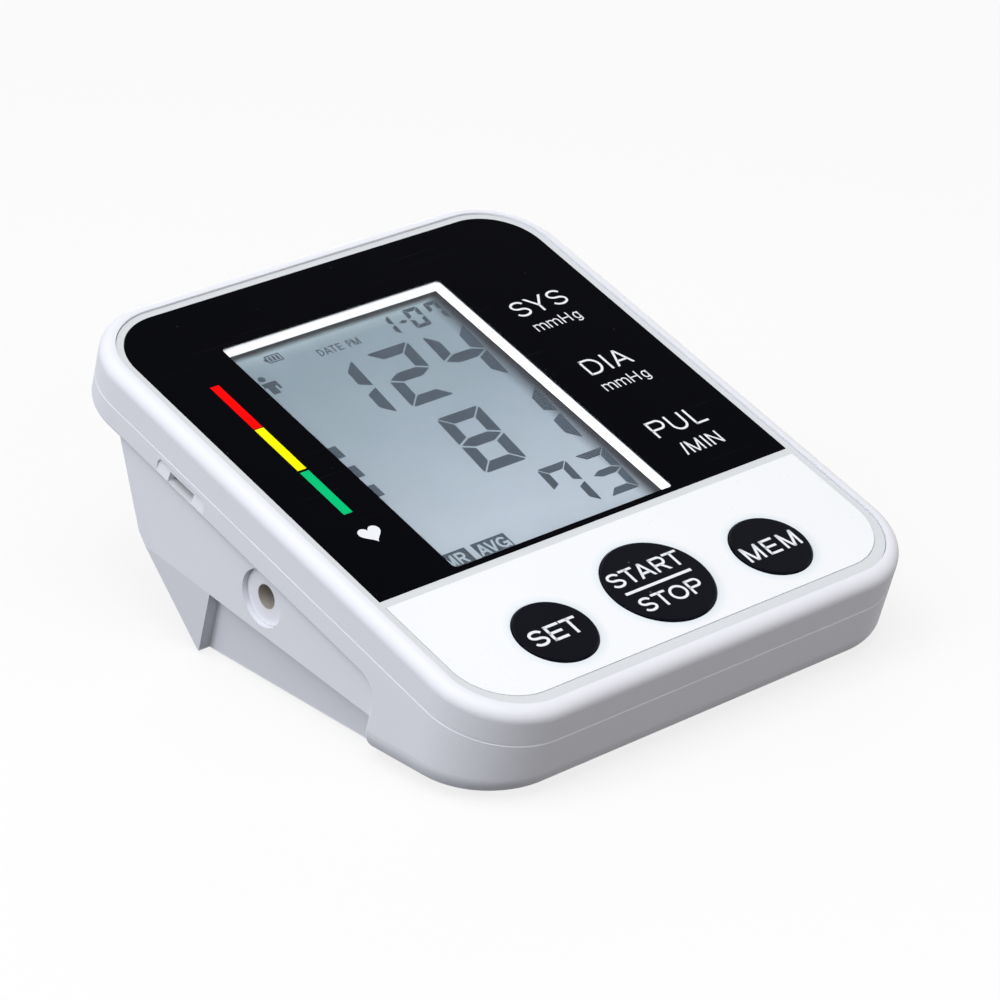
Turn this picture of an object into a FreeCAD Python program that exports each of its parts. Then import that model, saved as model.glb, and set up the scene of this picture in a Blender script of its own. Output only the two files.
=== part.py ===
"""Home blood pressure monitor: a tilted face on a wedge base, built as separate pieces.

Two frames are used. The face frame lies in the tilted display face: x to the right, y up the face
from its front edge, z out of the face, with z = 0 on the panel surface. The floor frame stands on the
floor: x to the right, y back from the same front edge, z up.
"""
import FreeCAD, Part
import os
import re
import Sketcher

# Driving sizes, in millimetres and degrees
SIZES = (
    # Case shell
    ("case_width", 106.0),
    ("case_length", 124.0),
    ("corner_radius", 16.0),
    ("face_tilt", 17.25),
    ("parting_depth", 6.9),
    ("tray_gap", 0.2),
    ("case_wall", 2.0),
    ("rim_width", 2.8),
    ("rim_rise", 0.3),
    ("rim_round", 2.3),
    ("slab_round", 0.8),
    ("seam_bevel", 0.2),
    ("lip_height", 1.4),
    ("lip_width", 0.8),
    ("lip_root", 1.5),
    ("lip_seat", 1.5),
    ("lip_gap", 0.15),
    # Wedge base
    ("chin_length", 29.0),
    ("chin_hollow", 4.0),
    ("chin_round", 5.5),
    ("base_start", 26.0),
    ("hollow_start", 15.0),
    ("heel_gap", 7.7),
    ("heel_width", 1.5),
    ("bend_height", 19.8),
    ("lower_lean", 36.0),
    ("upper_lean", 15.0),
    ("cheek_inset", 0.9),
    ("recess_depth", 2.5),
    ("recess_slope", 8.3),
    ("leg_length", 7.9),
    ("leg_height", 15.0),
    ("leg_draft", 7.0),
    ("base_round", 1.5),
    ("side_hollow_depth", 6.0),
    ("side_hollow_over", 6.0),
    # Feet and case screws
    ("foot_radius", 4.5),
    ("foot_gap", 0.6),
    ("foot_recess", 1.0),
    ("foot_play", 0.1),
    ("front_foot_side", 32.0),
    ("front_foot_back", 16.0),
    ("rear_foot_side", 34.0),
    ("rear_foot_inset", 8.5),
    ("boss_inset", 9.0),
    ("boss_radius", 3.0),
    ("well_radius", 4.2),
    ("boss_web", 2.0),
    ("screw_radius", 1.4),
    ("screw_play", 0.05),
    ("screw_bite", 3.2),
    ("head_radius", 2.7),
    ("head_height", 2.0),
    ("head_play", 0.3),
    ("slot_length", 3.2),
    ("slot_width", 0.8),
    ("slot_depth", 1.0),
    # Face panels
    ("film_thickness", 0.3),
    ("film_gap", 0.12),
    ("border_drop", 0.1),
    ("panel_play", 0.1),
    ("panel_thickness", 0.6),
    ("deck_thickness", 2.0),
    ("border_width", 1.5),
    ("border_front", 2.5),
    ("band_width", 1.8),
    ("display_start", 36.4),
    ("window_left_margin", 17.7),
    ("window_right_margin", 27.4),
    ("window_front_margin", 1.1),
    ("window_rear_margin", 13.4),
    ("window_round", 1.0),
    ("window_play", 0.05),
    ("window_bevel", 1.0),
    ("window_lip", 0.2),
    # Keys and their switches
    ("start_key_radius", 10.5),
    ("side_key_radius", 7.7),
    ("key_spacing", 6.0),
    ("start_key_reach", 18.0),
    ("side_key_reach", 16.1),
    ("key_gap", 0.2),
    ("key_rise", 0.4),
    ("key_round", 0.3),
    ("key_flange", 0.8),
    ("key_flange_thickness", 0.8),
    ("key_slack", 0.1),
    ("switch_width", 6.0),
    ("switch_gap", 1.1),
    ("plunger_radius", 1.6),
    ("plunger_play", 0.1),
    ("plunger_depth", 0.7),
    ("plunger_well", 1.5),
    # Display and board
    ("gasket_thickness", 0.4),
    ("gasket_margin", 0.4),
    ("glass_margin", 3.0),
    ("glass_thickness", 2.8),
    ("holder_wall", 1.5),
    ("holder_gap", 0.2),
    ("strip_height", 1.2),
    ("strip_width", 2.0),
    ("strip_inset", 0.5),
    ("board_thickness", 1.6),
    ("board_gap", 0.8),
    ("board_front", 8.0),
    ("board_post_radius", 2.5),
    ("board_screw_radius", 1.0),
    ("board_screw_bite", 3.4),
    ("board_head_radius", 1.9),
    ("board_head_height", 0.7),
    ("post_gap", 0.5),
    ("post_edge", 3.0),
    ("processor_size", 12.0),
    ("processor_height", 1.4),
    ("processor_inset", 31.0),
    ("processor_reach", 62.0),
    ("buzzer_radius", 6.0),
    ("buzzer_height", 3.0),
    ("buzzer_inset", 17.0),
    ("buzzer_reach", 95.0),
    ("small_part_size", 4.0),
    ("small_part_height", 1.5),
    ("small_part_inset", 15.0),
    ("small_part_reach", 52.0),
    ("small_part_pitch", 8.0),
    # Side sockets
    ("port_inset", 38.0),
    ("port_width", 7.5),
    ("port_height", 2.35),
    ("port_depth", 5.0),
    ("port_bevel", 1.0),
    ("port_sheet", 0.3),
    ("port_setback", 1.0),
    ("port_play", 0.2),
    ("mouth_play", 0.1),
    ("port_tab", 16.0),
    ("tab_gap", 0.3),
    ("tongue_width", 3.6),
    ("tongue_height", 0.7),
    ("tongue_length", 3.4),
    ("notch_width", 14.0),
    ("notch_over", 0.9),
    ("notch_depth", 0.6),
    ("notch_round", 1.2),
    ("socket_ahead", 24.2),
    ("socket_height", 19.9),
    ("dish_radius", 5.5),
    ("dish_depth", 1.1),
    ("socket_flange", 1.2),
    ("socket_tube_radius", 3.4),
    ("socket_barb_length", 3.7),
    ("socket_bore_radius", 2.3),
    ("socket_end_wall", 1.2),
    ("socket_boss_radius", 7.0),
    ("socket_play", 0.1),
    # Air circuit
    ("manifold_half", 4.0),
    ("barb_radius", 1.5),
    ("barb_length", 2.0),
    ("barb_bore", 0.7),
    ("hose_gap", 0.2),
    ("hose_wall", 1.0),
    ("hose_play", 0.05),
    ("pump_shift", 1.0),
    ("pump_height", 22.5),
    ("pump_radius", 9.5),
    ("motor_length", 27.0),
    ("motor_tail", 2.0),
    ("motor_tail_radius", 3.0),
    ("pump_head_length", 14.0),
    ("cam_room_radius", 7.0),
    ("cam_room_length", 8.0),
    ("cam_radius", 4.0),
    ("cam_throw", 1.5),
    ("cam_width", 4.0),
    ("shaft_radius", 1.0),
    ("shaft_play", 0.05),
    ("shaft_bite", 7.0),
    ("cushion_wall", 0.5),
    ("cushion_width", 3.0),
    ("cushion_play", 0.05),
    ("rib_spread", 16.0),
    ("rib_width", 2.5),
    ("valve_gap", 0.45),
    ("valve_radius", 4.5),
    ("valve_height", 9.5),
    ("valve_pin_radius", 1.5),
    ("valve_pin_play", 0.1),
    ("valve_pin_length", 4.6),
    ("valve_pin_lift", 0.3),
    ("valve_well", 6.4),
    ("sensor_length", 11.0),
    ("sensor_height", 7.0),
    # Cells, contacts and battery door
    ("cell_radius", 5.25),
    ("cell_length", 44.5),
    ("cell_nipple_radius", 1.9),
    ("cell_nipple", 1.0),
    ("cell_gap", 0.3),
    ("bay_start", 25.5),
    ("bay_wall", 1.8),
    ("bay_clear", 0.64),
    ("contact_room", 3.5),
    ("contact_plate", 0.4),
    ("contact_half", 4.0),
    ("contact_dome", 3.0),
    ("contact_tip", 1.6),
    ("contact_gap", 0.1),
    ("door_thickness", 1.8),
    ("door_gap", 0.3),
    ("door_seat", 0.1),
    ("door_ledge", 1.0),
    ("barrel_radius", 1.5),
    ("pin_radius", 0.9),
    ("pin_length", 2.5),
    ("pin_play", 0.05),
    ("thumb_radius", 7.0),
    ("thumb_depth", 0.7),
    ("thumb_inset", 8.0),
    # Hook-up wires
    ("wire_radius", 0.5),
    ("wire_pitch", 3.5),
    ("battery_wire_side", 16.0),
    ("valve_wire_reach", 3.5),
)

# Lengths that follow from the driving sizes, each as a formula of names above it
DERIVED = (
    # Panel surface down to the board's underside, and the whole depth of the slab
    ("deck_depth", "panel_thickness + film_thickness + deck_thickness"),
    ("board_depth", "deck_depth + gasket_thickness + glass_thickness + strip_height + board_thickness"),
    ("slab_depth", "board_depth + board_head_height + tray_gap + case_wall"),
    # Battery bay, from the floor up and from its front wall back
    ("ledge_height", "foot_gap + door_thickness + door_seat"),
    ("bay_roof", "ledge_height + 2 * (cell_radius + cell_gap)"),
    ("bay_top", "bay_roof + bay_wall"),
    ("bay_half", "4 * cell_radius + 2.5 * cell_gap"),
    ("bay_end", "bay_start + cell_length + 2 * contact_room"),
    # The face stands just high enough for the board to clear the bay's front wall
    ("board_drop", "(board_depth - (bay_start - bay_wall) * sin(face_tilt)) / cos(face_tilt)"),
    ("front_height", "bay_top + bay_clear + board_drop"),
    # Behind the bay come the pump and the heel, and beside it the valve
    ("heel_back", "bay_end + bay_wall + heel_gap"),
    ("leg_back", "heel_back - leg_length"),
    ("rear_foot_back", "heel_back - rear_foot_inset"),
    ("pump_back", "heel_back + pump_shift"),
    ("socket_back", "pump_back - socket_ahead"),
    ("manifold_side", "bay_half + bay_wall + valve_gap + valve_radius"),
    # Board and keys between the case bosses
    ("case_half", "case_width / 2"),
    ("board_half", "case_half - boss_inset - well_radius - board_gap"),
    ("side_key_spread", "start_key_radius + side_key_radius + 2 * key_flange + key_spacing"),
    ("panel_inset", "rim_width + film_gap + border_width"),
    # The inlet keeps its place from the rear edge, and the socket reaches in to the manifold's hose
    ("port_reach", "case_length - port_inset"),
    ("hose_reach", "manifold_side + manifold_half + barb_length + hose_gap + socket_barb_length"),
    ("socket_tube_length", "case_half - cheek_inset - dish_depth - socket_flange - hose_reach"),
)
NAMES = {name: "Sizes." + name for name, size in SIZES}
NAMES.update({name: "Derived." + name for name, formula in DERIVED})

doc = FreeCAD.newDocument("blood_pressure_monitor")
sheet = doc.addObject("Spreadsheet::Sheet", "Sizes")
for row, (name, size) in enumerate(SIZES, 1):
    sheet.set(f"A{row}", name)
    sheet.set(f"B{row}", str(size))
    sheet.setAlias(f"B{row}", name)
doc.recompute()

nodes = []
X_AXIS = FreeCAD.Vector(1, 0, 0)
Y_AXIS = FreeCAD.Vector(0, 1, 0)
Z_AXIS = FreeCAD.Vector(0, 0, 1)
TURNS = {
    "x": FreeCAD.Rotation(Y_AXIS, 90),
    "y": FreeCAD.Rotation(X_AXIS, -90),
    "-y": FreeCAD.Rotation(X_AXIS, 90),
    "z": FreeCAD.Rotation(),
}
TINY = 1e-4


# Formulas and bindings

def expression(formula):
    """Write a formula of size names as an expression on the document's values."""
    return re.sub(r"[a-z_]+", lambda word: NAMES.get(word[0], word[0]), formula)


def number(formula):
    """Present value of a formula."""
    return float(sheet.evalExpression(expression(formula)))


def bind(thing, prop, formula):
    thing.setExpression(prop, expression(formula))


derived = doc.addObject("App::VarSet", "Derived")
for name, formula in DERIVED:
    derived.addProperty("App::PropertyFloat", name)
    bind(derived, name, formula)
doc.recompute()

SIN = "sin(face_tilt)"
COS = "cos(face_tilt)"
HALF = "case_half"
FRONT_REACH = f"rim_round * {COS} - (rim_rise - rim_round) * {SIN} - rim_round"
BACK_REACH = f"(case_length - slab_round) * {COS} + (slab_depth - slab_round) * {SIN} + slab_round"
FACE_Y = f"(-({FRONT_REACH} + {BACK_REACH}) / 2)"


def floor_y(y, z):
    """Distance back from the front edge of a face-frame point."""
    return f"(({y}) * {COS} - ({z}) * {SIN})"


def floor_z(y, z):
    """Height above the floor of a face-frame point."""
    return f"(front_height + ({y}) * {SIN} + ({z}) * {COS})"


def face_y(y, z):
    """Distance up the face of a floor-frame point."""
    return f"(({y}) * {COS} + (({z}) - front_height) * {SIN})"


def face_z(y, z):
    """Height out of the face of a floor-frame point."""
    return f"((({z}) - front_height) * {COS} - ({y}) * {SIN})"


def seat(thing, frame, x="0", y="0", z="0", along="z"):
    """Place a solid at a point of the face frame or the floor frame."""
    if frame == "face":
        thing.Placement = FreeCAD.Placement(FreeCAD.Vector(), FreeCAD.Rotation(X_AXIS, number("face_tilt")))
        bind(thing, "Placement.Rotation.Angle", "face_tilt")
        y, z = floor_y(y, z), floor_z(y, z)
    else:
        thing.Placement = FreeCAD.Placement(FreeCAD.Vector(), TURNS[along])
    bind(thing, "Placement.Base.x", x)
    bind(thing, "Placement.Base.y", f"{FACE_Y} + ({y})")
    bind(thing, "Placement.Base.z", z)


def node(thing, label):
    """Name a finished sub-part."""
    thing.Label = label
    nodes.append(thing)
    return thing


# Solids from primitives

def box(name, frame, x, y, z):
    """Block between low and high formulas along each axis."""
    block = doc.addObject("Part::Box", name)
    for prop, (low, high) in zip(("Length", "Width", "Height"), (x, y, z)):
        bind(block, prop, f"({high}) - ({low})")
    seat(block, frame, x[0], y[0], z[0])
    return block


def rod(name, frame, radius, length, x, y, z, along="z"):
    """Cylinder from a base point along one axis of its frame."""
    bar = doc.addObject("Part::Cylinder", name)
    bind(bar, "Radius", radius)
    bind(bar, "Height", length)
    seat(bar, frame, x, y, z, along)
    return bar


def fuse(name, *solids):
    whole = doc.addObject("Part::MultiFuse", name)
    whole.Shapes = list(solids)
    return whole


def group(name, solids):
    several = doc.addObject("Part::Compound", name)
    several.Links = list(solids)
    return several


def cut(name, base, *tools):
    result = doc.addObject("Part::Cut", name)
    result.Base = base
    result.Tool = tools[0] if len(tools) == 1 else fuse(name + "_tools", *tools)
    return result


def common(name, first, second):
    result = doc.addObject("Part::Common", name)
    result.Base = first
    result.Tool = second
    return result


# Solids from sketches

def new_body(name, frame):
    body = doc.addObject("PartDesign::Body", name)
    seat(body, frame)
    return body


def sketch_on(body, name, role, offset):
    """Sketch parallel to one of the body's own planes, moved along its normal."""
    plane = next(item for item in body.Origin.OriginFeatures if item.Role == role)
    sketch = body.newObject("Sketcher::SketchObject", name)
    sketch.AttachmentSupport = [(plane, "")]
    sketch.MapMode = "FlatFace"
    bind(sketch, "AttachmentOffset.Base.z", offset)
    return sketch


def constrain(sketch, kind, *items, formula):
    index = sketch.addConstraint(Sketcher.Constraint(kind, *items, number(formula)))
    bind(sketch, f"Constraints[{index}]", formula)


def pin_point(sketch, geometry, position, x, y):
    constrain(sketch, "DistanceX", -1, 1, geometry, position, formula=x)
    constrain(sketch, "DistanceY", -1, 1, geometry, position, formula=y)


def spot(x, y):
    return FreeCAD.Vector(number(x), number(y), 0)


def polygon(sketch, points):
    """Closed outline of straight sides through points given as formulas."""
    first = sketch.GeometryCount
    count = len(points)
    for start, end in zip(points, points[1:] + points[:1]):
        sketch.addGeometry(Part.LineSegment(spot(*start), spot(*end)))
    for index, point in enumerate(points):
        following = first + (index + 1) % count
        sketch.addConstraint(Sketcher.Constraint("Coincident", first + index, 2, following, 1))
        pin_point(sketch, first + index, 1, *point)


def circle(sketch, x, y, radius):
    index = sketch.addGeometry(Part.Circle(spot(x, y), Z_AXIS, number(radius)))
    pin_point(sketch, index, 3, x, y)
    constrain(sketch, "Radius", index, formula=radius)


def rounded(sketch, left, right, bottom, top, radii):
    """Rectangle whose corners, from bottom left anticlockwise, are round or, at None, sharp."""
    r = [radius or "0" for radius in radii]
    starts = (
        (f"{left} + {r[0]}", bottom),
        (right, f"{bottom} + {r[1]}"),
        (f"{right} - ({r[2]})", top),
        (left, f"{top} - ({r[3]})"),
    )
    ends = (
        (f"{right} - ({r[1]})", bottom),
        (right, f"{top} - ({r[2]})"),
        (f"{left} + {r[3]}", top),
        (left, f"{bottom} + {r[0]}"),
    )
    sides = [sketch.addGeometry(Part.LineSegment(spot(*a), spot(*b))) for a, b in zip(starts, ends)]
    for index, side in enumerate(sides):
        pin_point(sketch, side, 1, *starts[index])
        following = sides[(index + 1) % 4]
        corner = (index + 1) % 4
        if radii[corner] is None:
            sketch.addConstraint(Sketcher.Constraint("Coincident", side, 2, following, 1))
            continue
        pin_point(sketch, side, 2, *ends[index])
        begin = spot(*ends[index])
        finish = spot(*starts[corner])
        centre = FreeCAD.Vector(finish.x, begin.y, 0)
        if corner % 2:
            centre = FreeCAD.Vector(begin.x, finish.y, 0)
        bulge = (begin + finish) / 2 - centre
        middle = centre + bulge.normalize() * number(radii[corner])
        arc = sketch.addGeometry(Part.Arc(begin, middle, finish))
        sketch.addConstraint(Sketcher.Constraint("Coincident", side, 2, arc, 1))
        sketch.addConstraint(Sketcher.Constraint("Coincident", arc, 2, following, 1))
        constrain(sketch, "Radius", arc, formula=radii[corner])


def case_outline(sketch, inset):
    """Outline of the face, set in evenly all round."""
    rounded(sketch, f"-({HALF} - ({inset}))", f"({HALF} - ({inset}))", f"({inset})",
            f"(case_length - ({inset}))", [f"(corner_radius - ({inset}))"] * 4)


def pad(body, name, role, low, high, draw):
    """Grow material between two offsets along a plane's normal."""
    sketch = sketch_on(body, name + "_outline", role, low)
    draw(sketch)
    feature = body.newObject("PartDesign::Pad", name)
    feature.Profile = sketch
    bind(feature, "Length", f"({high}) - ({low})")
    doc.recompute()
    return feature


def pocket(body, name, role, low, high, draw):
    """Remove material between two offsets along a plane's normal."""
    sketch = sketch_on(body, name + "_outline", role, high)
    draw(sketch)
    feature = body.newObject("PartDesign::Pocket", name)
    feature.Profile = sketch
    bind(feature, "Length", f"({high}) - ({low})")
    before = feature.BaseFeature.Shape.Volume
    doc.recompute()
    if feature.Shape.Volume > before - TINY:
        raise RuntimeError(f"{name} removes nothing")
    return feature


def edges_where(shape, test):
    return [f"Edge{index}" for index, edge in enumerate(shape.Edges, 1) if test(edge)]


def level(edge, height):
    """Whether an edge lies flat at a height of its body's frame."""
    return abs(edge.BoundBox.ZMin - height) < TINY and abs(edge.BoundBox.ZMax - height) < TINY


def soften(body, kind, prop, name, base, edges, size):
    """Fillet or chamfer chosen edges of the last feature."""
    feature = body.newObject(f"PartDesign::{kind}", name)
    feature.Base = (base, edges)
    bind(feature, prop, size)
    doc.recompute()
    return feature


# Levels in the face frame, downwards from the panel surface

FILM_TOP = "-panel_thickness"
DECK_TOP = "-(panel_thickness + film_thickness)"
DECK_UNDER = "-deck_depth"
GLASS_TOP = "-(deck_depth + gasket_thickness)"
GLASS_UNDER = "-(deck_depth + gasket_thickness + glass_thickness)"
BOARD_TOP = "(board_thickness - board_depth)"
BOARD_UNDER = "(-board_depth)"
FLANGE_TOP = "-(deck_depth + key_slack)"
FLANGE_UNDER = "(-(deck_depth + key_slack + key_flange_thickness))"
SWITCH_TOP = f"({FLANGE_UNDER} - switch_gap)"

# Window and keys on the face

WINDOW_LEFT = "(panel_inset + window_left_margin - case_half)"
WINDOW_RIGHT = "(case_half - panel_inset - window_right_margin)"
WINDOW_START = "(display_start + window_front_margin)"
WINDOW_END = "(case_length - panel_inset - window_rear_margin)"
KEYS = (
    ("set", "-side_key_spread", "side_key_reach", "side_key_radius"),
    ("start", "0", "start_key_reach", "start_key_radius"),
    ("memory", "side_key_spread", "side_key_reach", "side_key_radius"),
)
POST_SIDE = "(board_half - board_post_radius - post_edge)"
POST_MARGIN = "(glass_margin + holder_gap + holder_wall + post_gap + board_post_radius)"
REAR_POST = f"({WINDOW_END} + {POST_MARGIN})"
BOARD_END = f"({REAR_POST} + board_post_radius)"
BOSSES = [
    (side + f"({HALF} - boss_inset)", reach)
    for side in ("-", "")
    for reach in ("boss_inset", "(case_length - boss_inset)")
]
POSTS = [
    (side + POST_SIDE, reach)
    for side in ("-", "")
    for reach in (f"({WINDOW_START} - {POST_MARGIN})", REAR_POST)
]


def window(sketch, margin):
    rounded(sketch, f"({WINDOW_LEFT} - ({margin}))", f"({WINDOW_RIGHT} + ({margin}))",
            f"({WINDOW_START} - ({margin}))", f"({WINDOW_END} + ({margin}))",
            [f"(window_round + ({margin}))"] * 4)


def window_frame(sketch, margin):
    """Sharp-cornered outline round the window."""
    rounded(sketch, f"({WINDOW_LEFT} - ({margin}))", f"({WINDOW_RIGHT} + ({margin}))",
            f"({WINDOW_START} - ({margin}))", f"({WINDOW_END} + ({margin}))", [None] * 4)


def key_holes(sketch):
    for name, x, y, radius in KEYS:
        circle(sketch, x, y, f"{radius} + key_gap")


# Upper case

def make_top_case():
    body = new_body("top_case", "face")
    shell = pad(body, "top_shell", "XY_Plane", "-parting_depth", "rim_rise", lambda s: case_outline(s, "0"))
    rim = edges_where(shell.Shape, lambda edge: level(edge, number("rim_rise")))
    shell = soften(body, "Fillet", "Radius", "rim_fillet", shell, rim, "rim_round")
    seam = edges_where(shell.Shape, lambda edge: level(edge, number("-parting_depth")))
    soften(body, "Chamfer", "Size", "top_seam", shell, seam, "seam_bevel")
    pocket(body, "panel_recess", "XY_Plane", DECK_TOP, "rim_rise + case_wall",
           lambda s: case_outline(s, "rim_width"))
    pocket(body, "top_hollow", "XY_Plane", "-(parting_depth + case_wall)", DECK_UNDER,
           lambda s: case_outline(s, "case_wall"))

    def openings(sketch):
        window_frame(sketch, "-window_bevel")
        key_holes(sketch)

    deck = number(DECK_TOP)
    low_end, high_end = number(WINDOW_START), number(WINDOW_END)

    def window_edge(edge):
        return level(edge, deck) and edge.BoundBox.YMin > low_end and edge.BoundBox.YMax < high_end

    def rings(radius, places):
        return lambda s: [circle(s, x, y, radius) for x, y in places]

    opened = pocket(body, "deck_openings", "XY_Plane", f"{DECK_UNDER} - case_wall", "rim_rise", openings)
    soften(body, "Chamfer", "Size", "window_slope", opened, edges_where(opened.Shape, window_edge),
           "window_bevel")
    pocket(body, "window_relief", "XY_Plane", f"{DECK_UNDER} - case_wall",
           f"({DECK_TOP} - window_bevel - window_lip)", lambda s: window_frame(s, "0"))
    pad(body, "case_bosses", "XY_Plane", "-parting_depth", DECK_UNDER, rings("boss_radius", BOSSES))
    pad(body, "board_posts", "XY_Plane", BOARD_TOP, DECK_UNDER, rings("board_post_radius", POSTS))
    pocket(body, "boss_holes", "XY_Plane", "-(parting_depth + case_wall)", DECK_UNDER,
           rings("screw_radius + screw_play", BOSSES))
    pocket(body, "post_holes", "XY_Plane", f"{BOARD_TOP} - case_wall", DECK_UNDER,
           rings("board_screw_radius + screw_play", POSTS))
    node(body, "top_case")


# Lower case: the tray and chin, the wedge base, and everything cut from them

CHEEK = f"({HALF} - cheek_inset)"
CORE = f"({CHEEK} - recess_depth)"
DEEP = f"((front_height + case_length * {SIN}) / {COS})"
LOW_HALF = f"({CORE} - tan(leg_draft) * (leg_height - foot_gap) - case_wall)"
BEND_Y = "(heel_back + (bend_height - foot_gap) * tan(lower_lean))"
LEAN_SUM = "(1 + cos(lower_lean - upper_lean))"
INNER_BEND_Y = f"({BEND_Y} - case_wall * (cos(lower_lean) + cos(upper_lean)) / {LEAN_SUM})"
INNER_BEND_Z = f"(bend_height + case_wall * (sin(lower_lean) + sin(upper_lean)) / {LEAN_SUM})"
INNER_HEEL = "(heel_back - case_wall * (1 - sin(lower_lean)) / cos(lower_lean))"
TRAY_MIDDLE = "(slab_depth - case_wall / 2)"
FLOOR_TOP = "(foot_gap + case_wall)"


def wall_top(bend_y, bend_z, depth):
    """Where the leaning back wall through a bend reaches a depth below the face."""
    rise = f"(front_height - {depth} * {COS} - {bend_z}) * tan(upper_lean)"
    reach = f"(({bend_y} - {depth} * {SIN} + {rise}) / ({COS} - {SIN} * tan(upper_lean)))"
    return floor_y(reach, f"-{depth}"), floor_z(reach, f"-{depth}")


def floor_depth(reach):
    """Level of the case's floor below a place on the face."""
    return f"-((front_height - foot_gap + ({reach}) * {SIN}) / {COS})"


def make_tray():
    """Lower half of the slab with the full-width chin under its front."""
    body = new_body("tray", "face")
    block = pad(body, "tray_block", "XY_Plane", f"-{DEEP}", "-parting_depth",
                lambda s: case_outline(s, "0"))
    seam = edges_where(block.Shape, lambda edge: level(edge, number("-parting_depth")))
    soften(body, "Chamfer", "Size", "tray_seam", block, seam, "seam_bevel")
    wide = f"({HALF} + case_wall)"
    pocket(body, "behind_chin", "YZ_Plane", f"-{wide}", wide,
           lambda s: rounded(s, "chin_length", "(case_length + case_wall)", f"(-{DEEP} - case_wall)",
                             "-slab_depth", [None, None, None, "chin_hollow"]))

    under = [
        ("-case_wall", floor_depth("-case_wall")),
        ("case_length", floor_depth("case_length")),
        ("case_length", f"-({DEEP} + front_height)"),
        ("-case_wall", f"-({DEEP} + front_height)"),
    ]
    chin = pocket(body, "under_chin", "YZ_Plane", f"-{wide}", wide, lambda s: polygon(s, under))
    sine, cosine, depth = number(SIN), number(COS), number("front_height - foot_gap")
    chin_back = number("chin_length")

    def on_floor(edge):
        heights = [point.Point.y * sine + point.Point.z * cosine + depth for point in edge.Vertexes]
        backs = [point.Point.y for point in edge.Vertexes]
        return max(map(abs, heights)) < TINY and min(backs) < chin_back - TINY

    low_edges = edges_where(chin.Shape, on_floor)
    chin = soften(body, "Fillet", "Radius", "chin_fillet", chin, low_edges, "chin_round")
    slab_level, half = number("-slab_depth"), number(HALF)

    def slab_side(edge):
        return level(edge, slab_level) and abs(abs(edge.Vertexes[0].Point.x) - half) < TINY and (
            abs(edge.Vertexes[0].Point.x - edge.Vertexes[-1].Point.x) < TINY)

    soften(body, "Fillet", "Radius", "slab_fillet", chin, edges_where(chin.Shape, slab_side), "slab_round")
    return body


def make_base():
    """Wedge under the tray, with a recess along each side in front of the rear legs."""
    body = new_body("base", "floor")
    top = [wall_top(BEND_Y, "bend_height", TRAY_MIDDLE),
           (floor_y("base_start", f"-{TRAY_MIDDLE}"), floor_z("base_start", f"-{TRAY_MIDDLE}"))]
    bend = (BEND_Y, "bend_height")
    toe = "(chin_length - case_wall / 2)"
    core = [(floor_y(toe, floor_depth(toe)), "foot_gap"), ("heel_back", "foot_gap"), bend] + top
    cheek = [
        ("base_start", "leg_height - (leg_back - base_start) * tan(recess_slope)"),
        ("leg_back", "leg_height"),
        ("heel_back - heel_width", "foot_gap"),
        ("heel_back", "foot_gap"),
        bend,
    ] + top

    def draft(name, half):
        """Lean the sides inwards below the line along the top of the recess."""
        sketch = sketch_on(body, name + "_outline", "XZ_Plane", "0")
        sketch.AttachmentOffset = FreeCAD.Placement(
            FreeCAD.Vector(), FreeCAD.Rotation(X_AXIS, number("recess_slope")))
        bind(sketch, "AttachmentOffset.Rotation.Angle", "recess_slope")
        bind(sketch, "AttachmentOffset.Base.y", "leg_height - leg_back * tan(recess_slope)")
        for side in ("", "-"):
            polygon(sketch, [
                (f"{side}{half}", "0"),
                (f"{side}({half} - {HALF} * tan(leg_draft))", f"-{HALF}"),
                (f"{side}({half} + slab_depth)", f"-{HALF}"),
                (f"{side}({half} + slab_depth)", "0"),
            ])
        feature = body.newObject("PartDesign::Pocket", name)
        feature.Profile = sketch
        bind(feature, "Length", "case_length + case_width")
        doc.recompute()
        return feature

    pad(body, "core_block", "YZ_Plane", f"-{CORE}", CORE, lambda s: polygon(s, core))
    draft("core_draft", CORE)
    pad(body, "cheek_block", "YZ_Plane", f"-{CHEEK}", CHEEK, lambda s: polygon(s, cheek))
    legs = draft("leg_draft_cut", CHEEK)
    inside, back = number(LOW_HALF), number("leg_back + heel_width")

    def rear_edge(edge):
        start, end = edge.Vertexes[0].Point, edge.Vertexes[-1].Point
        upright = start.x * end.x > 0 and abs(start.z - end.z) > TINY
        return upright and min(start.y, end.y) > back and min(abs(start.x), abs(end.x)) > inside

    soften(body, "Fillet", "Radius", "base_fillet", legs, edges_where(legs.Shape, rear_edge), "base_round")
    return body


CELL_Z = "(ledge_height + cell_gap + cell_radius)"
OPEN_HALF = "(bay_half + door_ledge)"
OPEN_END = "(bay_end + door_ledge)"
PIVOT_Y = "(bay_start - bay_wall - door_gap - barrel_radius)"
PIVOT_Z = "(foot_gap + barrel_radius)"
OPEN_START = f"({PIVOT_Y} - barrel_radius - door_gap)"
DISH_X = f"(-({CHEEK} - dish_depth))"
SOCKET_END = f"({DISH_X} + socket_flange + socket_tube_length)"
PORT_TOP = BOARD_UNDER
PORT_X = f"(-({CHEEK} - port_setback))"
PUMP_HEAD_X = "(-manifold_side - pump_head_length / 2)"
MOTOR_X = "(-manifold_side + pump_head_length / 2)"
FIRST_RIB = f"{MOTOR_X} + (motor_length - rib_spread - rib_width) / 2"
RIBS = [f"({FIRST_RIB})", f"({FIRST_RIB} + rib_spread)"]
FEET = [
    (side + across, back)
    for side in ("-", "")
    for across, back in (("front_foot_side", "front_foot_back"), ("rear_foot_side", "rear_foot_back"))
]


def both(half):
    """Span that reaches as far left as right."""
    return f"-{half}", half


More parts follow.
